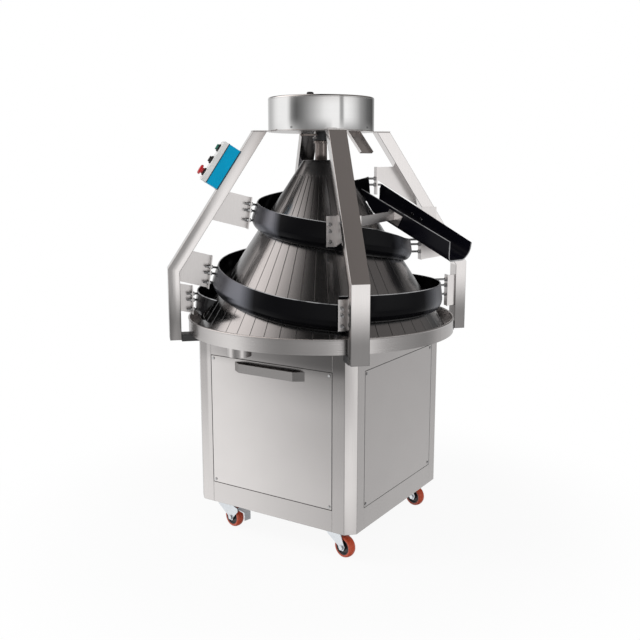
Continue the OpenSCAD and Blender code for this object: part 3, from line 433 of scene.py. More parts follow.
def lathe(profile, centre, axis, segments=96, loop=False):
    """A surface of revolution: profile points, as distance from the axis and place along it, are carried
    round a full turn about the axis through centre."""
    axis = np.asarray(axis, float) / np.linalg.norm(axis)
    side = np.cross(axis, UPRIGHT if abs(axis[2]) < 0.9 else (1, 0, 0))
    side = side / np.linalg.norm(side)
    third = np.cross(axis, side)
    turn = np.linspace(0, 2 * np.pi, segments, endpoint=False)
    ring = np.cos(turn)[:, None] * side + np.sin(turn)[:, None] * third
    profile = np.asarray(profile, float)
    points = np.asarray(centre) + profile[:, None, :1] * ring[None] + profile[:, None, 1:] * axis
    return patch(points, loop_rows=loop, loop_columns=True)


def bead(half, low, high, bend, steps, radius, sides=12):
    """A round bead along a rectangle with round corners: at each point of that line stands a ring, which
    reaches out of the rectangle by the cosine of its turn and off its plane by the sine. Gives the places
    in the plane, and the heights off it."""
    line = rounded([(-half, low), (half, low), (half, high), (-half, high)], bend, steps)
    ahead = np.roll(line, -1, 0) - np.roll(line, 1, 0)
    ahead = ahead / np.linalg.norm(ahead, axis=1, keepdims=True)
    away = np.stack([ahead[:, 1], -ahead[:, 0]], -1)
    turn = np.linspace(0, 2 * np.pi, sides, endpoint=False)
    ring = line[:, None] + away[:, None] * radius * np.cos(turn)[None, :, None]
    return ring, radius * np.sin(turn)


def channel(points, half):
    """A folded sheet: rows of a closed section, with the outer line as its first half and the inner line
    after it. The strip between the two lines closes each end."""
    caps = [patch(np.stack([row[:half], row[half:][::-1]])) for row in (points[0], points[-1])]
    return [patch(points, loop_columns=True)] + caps


def between(place, table):
    """Values at places along a table of pairs, in straight lines from one pair to the next."""
    return np.interp(place, *np.array(table, float).T)


def flare(cone):
    """How much the cone's radius grows for each metre down."""
    return (cone.foot_radius - cone.top_radius) / (cone.top - cone.foot)


def new_object(name, patches):
    """An object at the origin, with one mesh that holds all the patches."""
    shift = np.cumsum([0] + [len(p) for p, q in patches])
    points = np.vstack([p for p, q in patches])
    quads = np.vstack([q + s for (p, q), s in zip(patches, shift)])
    mesh = bpy.data.meshes.new(name)
    mesh.from_pydata(points.tolist(), [], quads.tolist())
    made = bpy.data.objects.new(name, mesh)
    bpy.context.scene.collection.objects.link(made)
    return made


def piece(name, patches, finish, body, nodes=(), crease=40.0, marks=None):
    """Makes one object of several patches: joins them, closes seams and poles, turns faces outwards, and
    sets it on its body in place of the CAD nodes. marks gives a value per point under an attribute name."""
    made = new_object(name, patches)
    mesh = made.data
    for key, values in (marks or {}).items():
        layer = mesh.attributes.new(key, "FLOAT", "POINT")
        layer.data.foreach_set("value", values.ravel().astype(np.float32))
    work = bmesh.new()
    work.from_mesh(mesh)
    bmesh.ops.remove_doubles(work, verts=work.verts, dist=1e-6)
    bmesh.ops.recalc_face_normals(work, faces=work.faces)
    work.to_mesh(mesh)
    work.free()
    mesh.shade_smooth()
    mesh.set_sharp_from_angle(angle=math.radians(crease))
    mesh.materials.append(finish)
    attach(made, body)
    if nodes:
        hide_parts(*nodes)


def dress(nodes, finish, edge=0.0, merge=True):
    """Gives CAD nodes a finish, and rounds their edges where edge is more than 0. merge joins the triangles
    of each flat face first, so that it shades evenly."""
    for name in nodes:
        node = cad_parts[name]
        node.data.materials.clear()
        node.data.materials.append(finish)
        if edge > 0:
            weld = node.modifiers.new("weld", "WELD")
            weld.merge_threshold = 1e-5
            if merge:
                flat = node.modifiers.new("flat", "DECIMATE")
                flat.decimate_type = "DISSOLVE"
                flat.angle_limit = math.radians(0.3)
            bevel = node.modifiers.new("edges", "BEVEL")
            bevel.width = edge
            bevel.segments = 2
            bevel.limit_method = "ANGLE"
            bevel.angle_limit = math.radians(35)
            bevel.harden_normals = True


class ROUNDER_OT_studio(bpy.types.Operator):
    """Makes the pale floor, the soft light, the surroundings that metal shows, and the camera"""

    bl_idname = "rounder.studio"
    bl_label = "Studio"

    # Pairs of an angle off the camera's axis in degrees and a level of light, above and below the horizon.
    upper_walls = [(-180, 0.75), (-165, 0.75), (-152, 0.60), (-140, 0.56), (-128, 0.70), (-116, 0.94),
                   (-104, 1.07), (-79, 1.08), (-73, 0.80), (-67, 0.32), (-60, 0.18), (-54, 0.13),
                   (-42, 0.21), (-30, 0.35), (-17, 0.55), (-5, 0.77), (7, 1.01), (20, 1.09),
                   (38, 1.09), (42, 0.42), (47, 0.42), (51, 1.09), (57, 1.09), (69, 0.95),
                   (81.5, 0.69), (94, 0.38), (106, 0.25), (118, 0.15), (142, 0.08), (180, 0.75)]
    lower_walls = [(-180, 0.75), (-150, 0.75), (-133, 0.58), (-121, 0.62), (-108, 0.80), (-96, 0.95),
                   (-83, 1.08), (-74, 1.12), (-68, 0.90), (-62, 0.66), (-57, 0.55), (-44.5, 0.32),
                   (-31, 0.26), (-18, 0.32), (8, 0.38), (13, 0.60), (20, 0.72), (25, 1.05),
                   (36, 1.05), (42, 0.80), (47, 0.70), (54, 0.42), (73, 0.34), (86, 0.31),
                   (98, 0.25), (108, 0.35), (118, 0.57), (148, 0.66), (180, 0.75)]
    wall_scale = 1.1
    key_place = (-2.6, -2.4, 3.4)
    key_size = 2.6
    fill_place = (3.4, -0.6, 2.2)
    fill_size = 2.2
    aim_height = 0.8

    def execute(self, context):
        studio = context.scene.rounder_studio
        context.scene.view_settings.view_transform = "Standard"
        self.add_floor(studio)
        self.add_surroundings(context.scene, studio)
        self.add_lamp("key_lamp", self.key_place, self.key_size, studio.key_power)
        self.add_lamp("fill_lamp", self.fill_place, self.fill_size, studio.fill_power)
        self.add_camera(context.scene, studio)
        return {"FINISHED"}

    def add_floor(self, studio):
        """A flat disc: radius and turn are the two parameters. It glows white for the camera, and a little
        less near the machine, where it shows the shadow."""
        radius = np.linspace(0, 1, 9)[:, None] * studio.floor_radius
        turn = np.linspace(0, 2 * np.pi, 64, endpoint=False)[None]
        disc = np.stack([radius * np.cos(turn), radius * np.sin(turn), 0 * radius * turn], -1)
        floor = new_object("floor", [patch(disc, loop_columns=True)])
        material, make = new_finish("pale_floor")
        matt = make.node("ShaderNodeBsdfDiffuse", None, {"Color": FLOOR_GREY})
        glow = make.node("ShaderNodeEmission", None, {"Color": WHITE})
        x, y = make.axes()[:2]
        away = make.math("SQRT", x * x + y * y).ramp(0.7, 1.5)
        share = make.ray("Camera") * (away * 0.08 + 0.92)
        both = make.node("ShaderNodeMixShader", None, {0: share, 1: matt, 2: glow})
        make.node("ShaderNodeOutputMaterial", None, {"Surface": both})
        floor.data.materials.append(material)
        floor.visible_glossy = False

    def add_surroundings(self, scene, studio):
        """White for the camera, an even grey for matt surfaces, and soft bright and dark panels for metal:
        walls above and below the horizon, a lit left and a dim right overhead, and a dim floor."""
        scene.world = bpy.data.worlds.new("studio")
        scene.world.use_nodes = True
        make = Shader(scene.world.node_tree)
        way = make.node("ShaderNodeTexCoord", out="Generated")
        way = make.node("ShaderNodeVectorRotate", {"rotation_type": "Z_AXIS"},
                        {"Vector": way, "Angle": math.pi / 2 - studio.swing})
        x, y, z = make.split(way)
        turn = make.math("ARCTAN2", y, x) / (2 * math.pi) + 0.5
        above = self.horizon(make, turn, self.upper_walls)
        below = self.horizon(make, turn, self.lower_walls) * (1.2 - z.ramp(-0.40, -0.18) * 0.2)
        over = z.ramp(-0.12, 0.03)
        left = turn.ramp(0.12, 0.19) * (1 - turn.ramp(0.19, 0.45))
        right = turn.ramp(0.54, 0.62)
        high = z.ramp(0.12, 0.45)
        deep = 1 - z.ramp(-0.80, -0.60)
        metal = above * over + below * (1 - over)
        metal = metal * (1 - high) + (left * 1.65 + right * 0.17 + 0.01) * high
        metal = metal * (1 - deep) + deep * 0.30
        shiny = make.ray("Glossy")
        white = make.math("MAXIMUM", make.ray("Camera"), make.ray("Transmission"))
        level = shiny * metal + (1 - shiny) * studio.ambient
        level = white + (1 - white) * level
        tint = make.mix(high * shiny, WHITE, WARM_LIGHT)
        light = make.node("ShaderNodeBackground", None, {"Color": tint, "Strength": level})
        make.node("ShaderNodeOutputWorld", None, {"Surface": light})

    def horizon(self, make, turn, levels):
        """A level of light round the horizon, from pairs of an angle off the camera's axis and a level."""
        band = make.node("ShaderNodeValToRGB", None, {"Fac": turn})
        line = band.socket.node.color_ramp.elements
        stops = [((angle + 180) / 360, (level / self.wall_scale,) * 3 + (1.0,)) for angle, level in levels]
        line[0].color = stops[0][1]
        line[1].color = stops[-1][1]
        for place, tone in stops[1:-1]:
            line.new(place).color = tone
        return make.node("ShaderNodeSeparateColor", None, {"Color": band}) * self.wall_scale

    def add_lamp(self, name, place, size, power):
        """A square soft lamp that looks at the middle of the machine."""
        lamp = bpy.data.lights.new(name, "AREA")
        lamp.energy = power
        lamp.size = size
        made = bpy.data.objects.new(name, lamp)
        made.location = place
        way = made.location.copy()
        way.z -= self.aim_height
        made.rotation_euler = way.to_track_quat("Z", "Y").to_euler()
        made.visible_glossy = False
        bpy.context.scene.collection.objects.link(made)

    def add_camera(self, scene, studio):
        """The camera at the photograph's place."""
        camera = bpy.data.cameras.new("camera")
        camera.lens = studio.lens
        camera.sensor_width = 36.0
        made = bpy.data.objects.new("camera", camera)
        made.location = studio.eye
        made.rotation_euler = (studio.tilt, 0.0, studio.swing)
        scene.collection.objects.link(made)
        scene.camera = made


class ROUNDER_OT_steelwork(bpy.types.Operator):
    """Gives the cabinet, arms, head and sheet brackets their stainless finish, and seals the panels"""

    bl_idname = "rounder.steelwork"
    bl_label = "Stainless steelwork"

    along_height = (700.0, 700.0, 9.0)
    along_level = (9.0, 9.0, 800.0)

    def execute(self, context):
        colours = context.scene.rounder_colours
        steel = colours.steel
        # The uprights and the front panel carry painted shade on their forward faces.
        upright = brushed("stainless_upright", steel, self.along_height, 0.22, shadow=self.under_pan)
        # The arms carry painted shade toward their foot.
        tube = brushed("stainless_tube", shade(steel, 1.22)[:3], (500.0, 500.0, 12.0), 0.14, 0.06,
                       self.at_foot)
        level = brushed("stainless_level", steel, self.along_level, 0.24)
        fold = brushed("stainless_bracket", shade(steel, 1.25)[:3], (300.0, 300.0, 40.0), 0.28)
        # Painted shade: the handle's steel is much darker than the rest of the stainless.
        grip = brushed("stainless_handle", shade(steel, 0.46)[:3], self.along_level, 0.24)
        sheet = brushed("stainless_sheet", shade(steel, 1.1)[:3], self.along_height, 0.22,
                        shadow=self.under_pan)
        dark = painted("foot_coat", (0.035, 0.035, 0.037), 0.4)
        dress(["corner_posts", "base_frame", "top_frame"], upright, 0.0012)
        dress(["side_panels"], upright)
        dress(["front_panel"], sheet, 0.0012)
        dress(["arm_front", "arm_left", "arm_back", "arm_right"], tube, 0.003)
        dress(["pull_handle"], grip, 0.0008)
        dress(["head_plate"], level, 0.0008)
        dress(["crumb_spout"], level)
        dress(["track_brackets", "chute_supports", "flour_channel"], fold)
        dress(["arm_feet"], dark, 0.002)
        self.add_seals(context.scene.rounder_cabinet, painted("panel_seal", colours.black, 0.5))
        return {"FINISHED"}

    def add_seals(self, size, finish):
        """A seal round each panel: a bead in the middle of the panel's seam, turned to each of the four
        sides."""
        ring, rise = bead(size.half, size.low, size.high, 0.002, 4, size.bead)
        sunk = size.bead * 0.7
        deep = size.face - sunk + rise + 0 * ring[..., 0]
        beads = []
        for side in np.arange(4) * np.pi / 2:
            c, s = math.cos(side), math.sin(side)
            points = [ring[..., 0] * c + deep * s, ring[..., 0] * s - deep * c, ring[..., 1]]
            beads.append(patch(np.stack(points, -1), True, True))
        piece("panel_seals", beads, finish, "frame")

    def under_pan(self, make):
        """Painted shade: faces that look forward are darker toward their right end, under the pan, on the top
        rail and on the left post."""
        x, z = make.axes()[::2]
        forward = make.facing()[1] * -1
        across = 1 - x.ramp(-0.30, 0.35) * (z.ramp(0.20, 0.50) * 0.15 + 0.15)
        under = 1 - z.ramp(0.50, 0.74) * x.ramp(-0.30, 0.25) * 0.55
        rail = 1 - z.ramp(0.645, 0.70) * (x.ramp(-0.30, 0.0) * 0.28 + 0.22)
        post = 1 - (1 - x.ramp(-0.285, -0.275)) * z.ramp(0.15, 0.72) * 0.32
        lit = across * under * rail * post
        return forward.ramp(0.85, 0.97) * (1 - lit)

    def at_foot(self, make):
        """Painted shade: the arms are darker toward their foot."""
        darkest = 0.74
        return darkest - make.axes()[2].ramp(0.79, 0.96) * darkest


class ROUNDER_OT_drum(bpy.types.Operator):
    """Makes the polished flour drum and its lid with rolled edges, and finishes the pan"""

    bl_idname = "rounder.drum"
    bl_label = "Drum, lid and pan"

    sheet = 0.002
    lid_plate = 0.004
    lid_skirt = 0.008
    lip_gap = 0.0003
    rim_gap = 0.0001

    def execute(self, context):
        colours = context.scene.rounder_colours
        mirror = brushed("polished_sheet", colours.polished, (4.0, 4.0, 1500.0), 0.06, 0.015)
        dress(["catch_pan"], brushed("pan_sheet", colours.steel, (6.0, 6.0, 900.0), 0.24))
        low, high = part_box("flour_drum")
        r = high.x
        inside = r - self.sheet
        wall = rounded([(r, low.z), (r, high.z), (inside, high.z), (inside, low.z)], 0.0006)
        piece("drum_wall", [lathe(wall, (0, 0, 0), UPRIGHT, 192, True)], mirror, "frame",
              ["flour_drum"])
        low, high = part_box("drum_lid")
        rim = high.z - self.lid_skirt + self.rim_gap
        under = high.z - self.lid_plate
        lip = inside - self.lip_gap
        fold = lip - self.sheet
        top = rounded([(0, high.z), (r, high.z), (r, rim), (lip, rim), (lip, low.z), (fold, low.z),
                       (fold, under), (0, under)],
                      [0, 0.006, 0.0006, 0.0004, 0.0005, 0.0005, 0.001, 0])
        piece("drum_cover", [lathe(top, (0, 0, 0), UPRIGHT, 192)], mirror, "lid", ["drum_lid"])
        return {"FINISHED"}


class ROUNDER_OT_cone(bpy.types.Operator):
    """Makes the cone with its straight round-bottomed grooves"""

    bl_idname = "rounder.cone"
    bl_label = "Grooved cone"

    shoulder_drop = 0.006
    foot_chamfer = 0.002
    edge_inset = 0.001
    groove_fade = 0.010
    least_reach = 0.9

    def execute(self, context):
        size = context.scene.rounder_cone
        finish = grooved_metal("cone_anodised", context.scene.rounder_colours.cone)
        points, depth = self.skin(size)
        piece("cone_casting", [patch(points, True, True)], finish, "rotor", ["cone"],
              crease=50.0, marks={"groove": depth})
        return {"FINISHED"}

    def skin(self, size):
        """The skin: a closed profile of the casting is carried round the axis. On the outer slope the radius
        falls by a half circle across each groove, whose width stays the same from head to foot, so the turn
        of each sample is its width over the radius, or near the bore over 0.9 of the head's radius. Depth
        runs out smoothly at the groove's top, where the rows lie closer."""
        slope = flare(size)
        stop = size.groove_top
        heights = np.concatenate([np.linspace(size.top - self.shoulder_drop, stop + 0.008, 8),
                                  np.linspace(stop + 0.006, stop - 0.004, 6),
                                  np.linspace(stop - self.groove_fade, size.foot + self.foot_chamfer, 46)])
        outer = np.stack([size.top_radius + slope * (size.top - heights), heights], -1)
        head = rounded([(size.bore, size.top), (size.top_radius - self.edge_inset, size.top), outer[0]],
                       [0, 0.0035, 0])
        inner_top = size.top - size.cap
        inner = np.array([(size.foot_radius - self.edge_inset, size.foot),
                          (size.foot_radius - size.wall, size.foot),
                          (size.top_radius + slope * size.cap - size.wall, inner_top),
                          (size.bore, inner_top)])
        line = np.vstack([head, outer, inner])
        sloped = np.concatenate([0 * head[:, 0], 1 + 0 * outer[:, 0], 0 * inner[:, 0]])
        run_out = np.clip((stop - line[:, 1]) / self.groove_fade + 0.4, 0, 1) * sloped
        across = np.sin(np.linspace(-0.5, 0.5, 9) * np.pi) * size.groove_width / 2
        drop = size.groove_depth * np.sqrt(1 - (2 * across / size.groove_width) ** 2)
        share = np.linspace(0, 1, 8)[1:-1]
        reach = np.maximum(line[:, 0], size.top_radius * self.least_reach)[:, None]
        half = np.pi / size.grooves
        edge = across[-1] / reach
        land = edge + share[None] * (2 * half - 2 * edge)
        turn = np.hstack([across[None] / reach, land])
        fall = np.hstack([drop[None] * run_out[:, None], 0 * land])
        centres = (np.arange(size.grooves) + 0.5) * 2 * half
        turn = (centres[None, :, None] + turn[:, None]).reshape(len(line), -1)
        fall = np.repeat(fall[:, None], size.grooves, 1).reshape(len(line), -1)
        away = line[:, :1] - fall
        points = np.stack([away * np.cos(turn), away * np.sin(turn), line[:, 1:] + 0 * turn], -1)
        return points, fall / size.groove_depth


class ROUNDER_OT_tracks(bpy.types.Operator):
    """Makes the three lengths of the spiral track as smooth coated channels"""

    bl_idname = "rounder.tracks"
    bl_label = "Spiral track"

    # Pairs of an angle round the spiral in degrees and a climb in millimetres: lower length, then the others.
    low_run = [(-7, 0), (60, 9), (120, 17), (180, 25), (240, 33), (276, 37)]
    up_run = [(268, 5), (285, 18), (300, 32), (315, 50), (330, 68), (345, 84), (360, 98), (380, 113),
              (405, 128), (450, 151), (500, 175), (540, 195), (568, 212), (600, 238), (638, 269),
              (675, 295), (709, 319), (740, 336), (780, 358), (840, 390), (900, 421)]
    # Over the same angle: share by which the section is lower, and lean of its wall in millimetres.
    squat = [(-10, 0), (515, 0), (545, 1), (574, 1), (604, 0), (900, 0)]
    lean = [(-10, 0), (300, 0), (345, 14), (372, 16), (400, 12), (450, 3), (480, 0), (640, 0), (690, 10),
            (732, 14), (770, 8), (810, 2), (840, 0), (900, 0)]
    # The section's outer line going up and inner line coming down, in millimetres, and their bends.
    outer = [(3, -1), (14, 4), (22, 13), (27, 24), (29, 36), (26.5, 62), (22.4, 93), (22, 96)]
    inner = [(18, 96), (18.4, 93), (22.5, 62), (25, 36.5), (23.2, 25.5), (18.8, 15.5), (11.5, 7.5), (0, 1)]
    bends = [0.9, 4, 5, 5, 6, 10, 0.5, 1.6]
    waist = 36
    wall = 60
    worn_and_highlight_above = 94
    rake_over = 45
    zero_turn = -135
    # Pairs of a direction from the axis in degrees and a share of painted sheen, which stands in for
    # reflections.
    painted_sheen = [(0, 0.2), (12, 1), (40, 1), (60, 0), (130, 0), (150, 0.8), (170, 0), (222, 0), (231, 0.3),
              (241, 0.75), (250, 1), (262, 1), (271, 0), (355, 0), (360, 0.2)]
    painted_sheen_after = 90

    def execute(self, context):
        coat = context.scene.rounder_colours.coat
        gloss = painted("track_coat", coat, 0.14, grain=700.0, depth=0.05, shine=0.08, sheen=True)
        runs = [("track_start", "track_lower", -7, 275, self.low_run, True),
                ("track_middle_run", "track_middle", 270, 540, self.up_run, False),
                ("track_upper_run", "track_upper", 540, 891, self.up_run, False)]
        for name, node, first, last, table, raked in runs:
            patches, marks = self.run(context, first, last, table, raked)
            piece(name, patches, gloss, "frame", [node], marks=marks)
        return {"FINISHED"}

    def run(self, context, first, last, table, raked):
        """One length: the rounded section, in millimetres, is carried along a spiral on the cone. The
        spiral's height comes from a table over the angle, its radius is the cone's at that height plus the
        gap, and the wall above the waist leans toward the cone by a second table. The strip between its two
        lines closes each end. The top edge is marked pale, as worn coat with a painted highlight, and
        three places round the outside carry a painted sheen that stands in for reflections."""
        cone = context.scene.rounder_cone
        size = context.scene.rounder_track
        waist, wall = self.waist, self.wall
        steps = int(math.ceil(math.radians(last - first) / size.step))
        angle = np.linspace(first, last, steps + 1)[:, None]
        height = cone.foot + size.rise + between(angle, table) * MM
        radius = cone.top_radius + flare(cone) * (cone.top - height) + size.gap
        section = rounded(self.outer + self.inner, self.bends + self.bends[::-1], 4)
        out, up = section[None, :, 0], section[None, :, 1]
        tall = (size.height + (size.low_height - size.height) * between(angle, self.squat)) / MM
        lift = np.where(up < waist, up, waist + (up - waist) * (tall - waist) / wall)
        tip = np.where(up < waist, 0, between(angle, self.lean) * (up - waist) / wall)
        rake = math.degrees(size.rake) * np.clip(1 - (angle - first) / self.rake_over, 0, 1) * raked
        turn = np.radians(rake * up * MM / size.height + self.zero_turn - angle)
        away = radius + (out - tip) * MM
        points = np.stack([away * np.cos(turn), away * np.sin(turn), height + lift * MM], -1)
        half = section.shape[0] // 2
        outside = np.arange(section.shape[0]) < half
        # Painted sheen at three places round the outside, which stands in for reflections.
        lobes = between(np.degrees(turn) % 360, self.painted_sheen) * outside * (angle > self.painted_sheen_after)
        # Pale top edge: worn coat, and a painted highlight along it.
        marks = {"edge": up > self.worn_and_highlight_above, "sheen": lobes}
        ends = np.zeros(4 * half)
        marks = {k: np.append(np.broadcast_to(v, points.shape[:2]), ends) for k, v in marks.items()}
        return channel(points, half), marks


class ROUNDER_OT_chute(bpy.types.Operator):
    """Makes the outfeed chute as a folded shell with a satin coat, pale at its edges from wear and painted
    highlight
    """

    bl_idname = "rounder.chute"
    bl_label = "Outfeed chute"

    edge_strip = 0.0025
    worn_and_highlight_strip = 0.0015
    usual_length = 0.4
    rise_over = 0.450
    outer_bends = [0.0006, 0.0004, 0.018, 0.040, 0.0004, 0.0006]
    inner_bends = [0.0006, 0.0004, 0.036, 0.014, 0.0004, 0.0006]

    def execute(self, context):
        satin = painted("chute_coat", (0.004, 0.004, 0.008), 0.28, grain=800.0, depth=0.06, shine=0.3)
        patches, edge = self.shell(context.scene.rounder_chute, context.scene.rounder_cone)
        piece("chute_shell", patches, satin, "frame", ["outfeed_chute"], marks={"edge": edge})
        return {"FINISHED"}

    def shell(self, size, cone):
        """The shell: a U section with round lower corners is carried down the slope. Each line of the section
        starts where it leaves the cone, which is the larger root of a quadratic, and stops at an upright
        plane that is turned a little and cut back at the far low corner. The section grows deeper on the
        way, and the far wall is higher at the start. Each end is closed by a strip. The near wall's top and
        the low end are marked pale, where the coat is worn, which also paints the highlight along them."""
        c, s = math.cos(size.slope), math.sin(size.slope)
        w, h, t, bare = size.width / 2, size.depth, size.wall, self.edge_strip
        corners = [(-w, 0), (-w, -bare), (-w, -h), (w, -h), (w, -bare), (w, 0),
                   (w - t, 0), (w - t, -bare), (w - t, t - h), (t - w, t - h), (t - w, -bare), (t - w, 0)]
        y, z = rounded(corners, self.outer_bends + self.inner_bends, 7).T
        grow = flare(cone)
        out, reach = size.start.x + z * s, grow * s
        ring = cone.top_radius + size.clear + grow * (cone.top - size.start.z - z * c)
        square, linear = c * c - reach * reach, out * c - ring * reach
        rest = out ** 2 + (size.start.y + y) ** 2 - ring ** 2
        leave = (np.sqrt(np.maximum(linear ** 2 - square * rest, 0)) - linear) / square
        first = np.maximum(leave, (size.begin - out) / c)
        last = (size.end + (y + w) * math.tan(size.end_turn) - out) / c
        last = last - size.cut * (z / h) ** 2 * np.clip(y / w, 0, 1)
        share = np.append(np.linspace(0, 1 - bare / self.usual_length, 40), 1.0)[:, None]
        along = first + (last - first) * share
        far = np.clip(z / bare + 1, 0, 1) * (y > 0)
        high = z * (1 + size.deepen * share) + far * size.rise * np.clip(1 - along / self.rise_over, 0, 1)
        points = np.stack([size.start.x + along * c + high * s, size.start.y + y + 0 * along,
                           size.start.z - along * s + high * c], -1)
        half = len(y) // 2
        # The near wall's top and the low end are pale: worn coat, and a painted highlight along them.
        worn = np.maximum((z > -self.worn_and_highlight_strip) * (y < 0), share == 1)
        edge = np.concatenate([worn.ravel(), np.zeros(2 * half), np.ones(2 * half)])
        return channel(points, half), edge


class ROUNDER_OT_head(bpy.types.Operator):
    """Finishes the shaft, bearings, lever, paddles and the lid's knob"""

    bl_idname = "rounder.head"
    bl_label = "Head"

    def execute(self, context):
        black = context.scene.rounder_colours.black
        turned = brushed("turned_steel", (0.25, 0.215, 0.20), (30.0, 30.0, 1200.0), 0.2)
        cast = painted("grey_casting", (0.05, 0.05, 0.052), 0.45, grain=500.0, depth=0.3, metallic=0.6)
        white = painted("white_plastic", (0.72, 0.72, 0.70), 0.4)
        dress(["main_shaft", "flour_lever"], turned, 0.0006)
        dress(["upper_bearing", "lower_bearing"], cast, 0.0008)
        dress(["flour_paddles"], white, 0.001)
        self.add_knob(painted("black_moulding", black, 0.3))
        return {"FINISHED"}

    def add_knob(self, finish):
        """The knob: a waisted profile with a domed head, carried round an upright axis."""
        low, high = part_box("lid_knob")
        middle = (low + high) / 2
        r = (high.x - low.x) / 2
        h = high.z - low.z
        line = rounded([(0, 0), (0.55 * r, 0), (0.5 * r, 0.4 * h), (r, 0.5 * h), (r, 0.85 * h),
                        (0.7 * r, h), (0, h)],
                       [0, 0.0005, 0.002, 0.0015, 0.002, 0.0025, 0])
        piece("knob", [lathe(line, (middle.x, middle.y, low.z), UPRIGHT, 48)], finish, "lid",
              ["lid_knob"])


class ROUNDER_OT_fasteners(bpy.types.Operator):
    """Finishes the studs, nuts, bolts and panel screws"""

    bl_idname = "rounder.fasteners"
    bl_label = "Fasteners"

    def execute(self, context):
        bright = plated("bright_fastener", (0.52, 0.52, 0.525), 0.16)
        dress(["track_studs", "bolts"], bright, 0.0005)
        dress(["panel_screws"], bright, 0.0008)
        return {"FINISHED"}


class ROUNDER_OT_controls(bpy.types.Operator):
    """Makes the controls with domed caps, the box's seals and lid screws, and finishes the box"""

    bl_idname = "rounder.controls"
    bl_label = "Control box"

    facing = math.radians(-135)
    stem_depth = 0.022
    face_height = 0.013
    collar_height = 0.007
    collar_gap = 0.0003
    seal_radius = 0.0015
    screw_inset = 0.007

    def execute(self, context):
        colours = context.scene.rounder_colours
        size = context.scene.rounder_controls
        blue = painted("blue_moulding", colours.blue, 0.28, grain=600.0, depth=0.06, shine=0.1)
        pale = painted("pale_moulding", colours.pale, 0.3, grain=600.0, depth=0.06)
        black = painted("control_black", colours.black, 0.32)
        dress(["control_box"], blue, 0.003)
        dress(["control_lid"], pale, 0.003)
        dress(["cable_gland"], black, 0.0006)
        self.add_seals(size, black)
        self.add_screws(size, plated("lid_screw", colours.zinc))
        way = self.directions(size)[2]
        out = size.collar_radius
        bore = size.button_radius + self.collar_gap
        rim = self.collar_height
        line = rounded([(bore, 0), (out, 0), (out, 0.004), (out - 0.002, rim), (bore, rim)],
                       [0.0002, 0.0004, 0.001, 0.0012, 0.0008])
        rings = [lathe(line, self.on_lid(size, i), way, 64, True) for i in (1, 0, -1)]
        piece("collars", rings, black, "frame", ["button_collars"])
        r, stem, face = size.button_radius, -self.stem_depth, self.face_height
        cap = rounded([(0, stem), (r, stem), (r, face), (0, face - 0.0002)], [0, 0.0005, 0.002, 0], 7)
        m = size.mushroom_radius
        dome = rounded([(0, stem), (r, stem), (r, face), (m - 0.002, face), (m, 0.0165), (m - 0.003, 0.0225),
                        (0, 0.024)], [0, 0.0005, 0.001, 0.0008, 0.002, 0.0035, 0], 7)
        tops = [("start_cap", 1, cap, 64, colours.green, "start", "button_green", "start_button"),
                ("stop_cap", 0, cap, 64, colours.black, "stop", "button_black", "stop_button"),
                ("mushroom", -1, dome, 96, colours.red, "emergency", "button_red", "emergency_stop")]
        for name, row, line, segments, colour, body, slot, node in tops:
            gloss = painted(name + "_gloss", colour, 0.2, grain=500.0, depth=0.04, coat=0.4)
            piece(name, [lathe(line, self.on_lid(size, row), way, segments)], gloss, body, [node])
        return {"FINISHED"}

    def add_seals(self, size, finish):
        """Two seals, at the lid's joint and at the box's back: each is a bead along the box's outline."""
        ring, rise = bead(size.width / 2, -size.length / 2, size.length / 2, 0.003, 6, self.seal_radius)
        side, up, out, back = self.directions(size)
        beads = []
        for depth in (self.seal_radius, size.body_depth):
            deep = depth + rise[None, :, None]
            beads.append(patch(back + ring[..., :1] * side + ring[..., 1:] * up + deep * out, True, True))
        piece("box_seals", beads, finish, "frame")

    def add_screws(self, size, finish):
        """Four lid screws: a low dome carried round an axis that stands on the lid."""
        side, up, out = self.directions(size)[:3]
        dome = rounded([(0, -0.001), (0.003, -0.001), (0.003, 0.0006), (0.0012, 0.0012), (0, 0.0012)],
                       [0, 0.0002, 0.0004, 0.0004, 0])
        heads = []
        for y in (-1, 1):
            for z in (-1, 1):
                centre = self.on_lid(size, 0) + side * y * (size.width / 2 - self.screw_inset)
                centre = centre + up * z * (size.length / 2 - self.screw_inset)
                heads.append(lathe(dome, centre, out, 32))
        piece("lid_screws", heads, finish, "frame")

    def directions(self, size):
        """Sideways along the box, up along the left arm, out the way that the controls face, and the middle
        of the box's back."""
        c, s = math.cos(self.facing), math.sin(self.facing)
        level, rise = math.cos(size.lean), math.sin(size.lean)
        side = np.array([-s, c, 0])
        up = np.array([-rise * c, -rise * s, level])
        out = np.array([level * c, level * s, rise])
        back = np.array([size.reach * c, size.reach * s, size.height])
        return side, up, out, back

    def on_lid(self, size, row):
        """The middle of a control on the lid's face, a row above or below the middle one."""
        up, out, back = self.directions(size)[1:]
        return back + out * (size.body_depth + size.lid_depth) + up * size.pitch * row


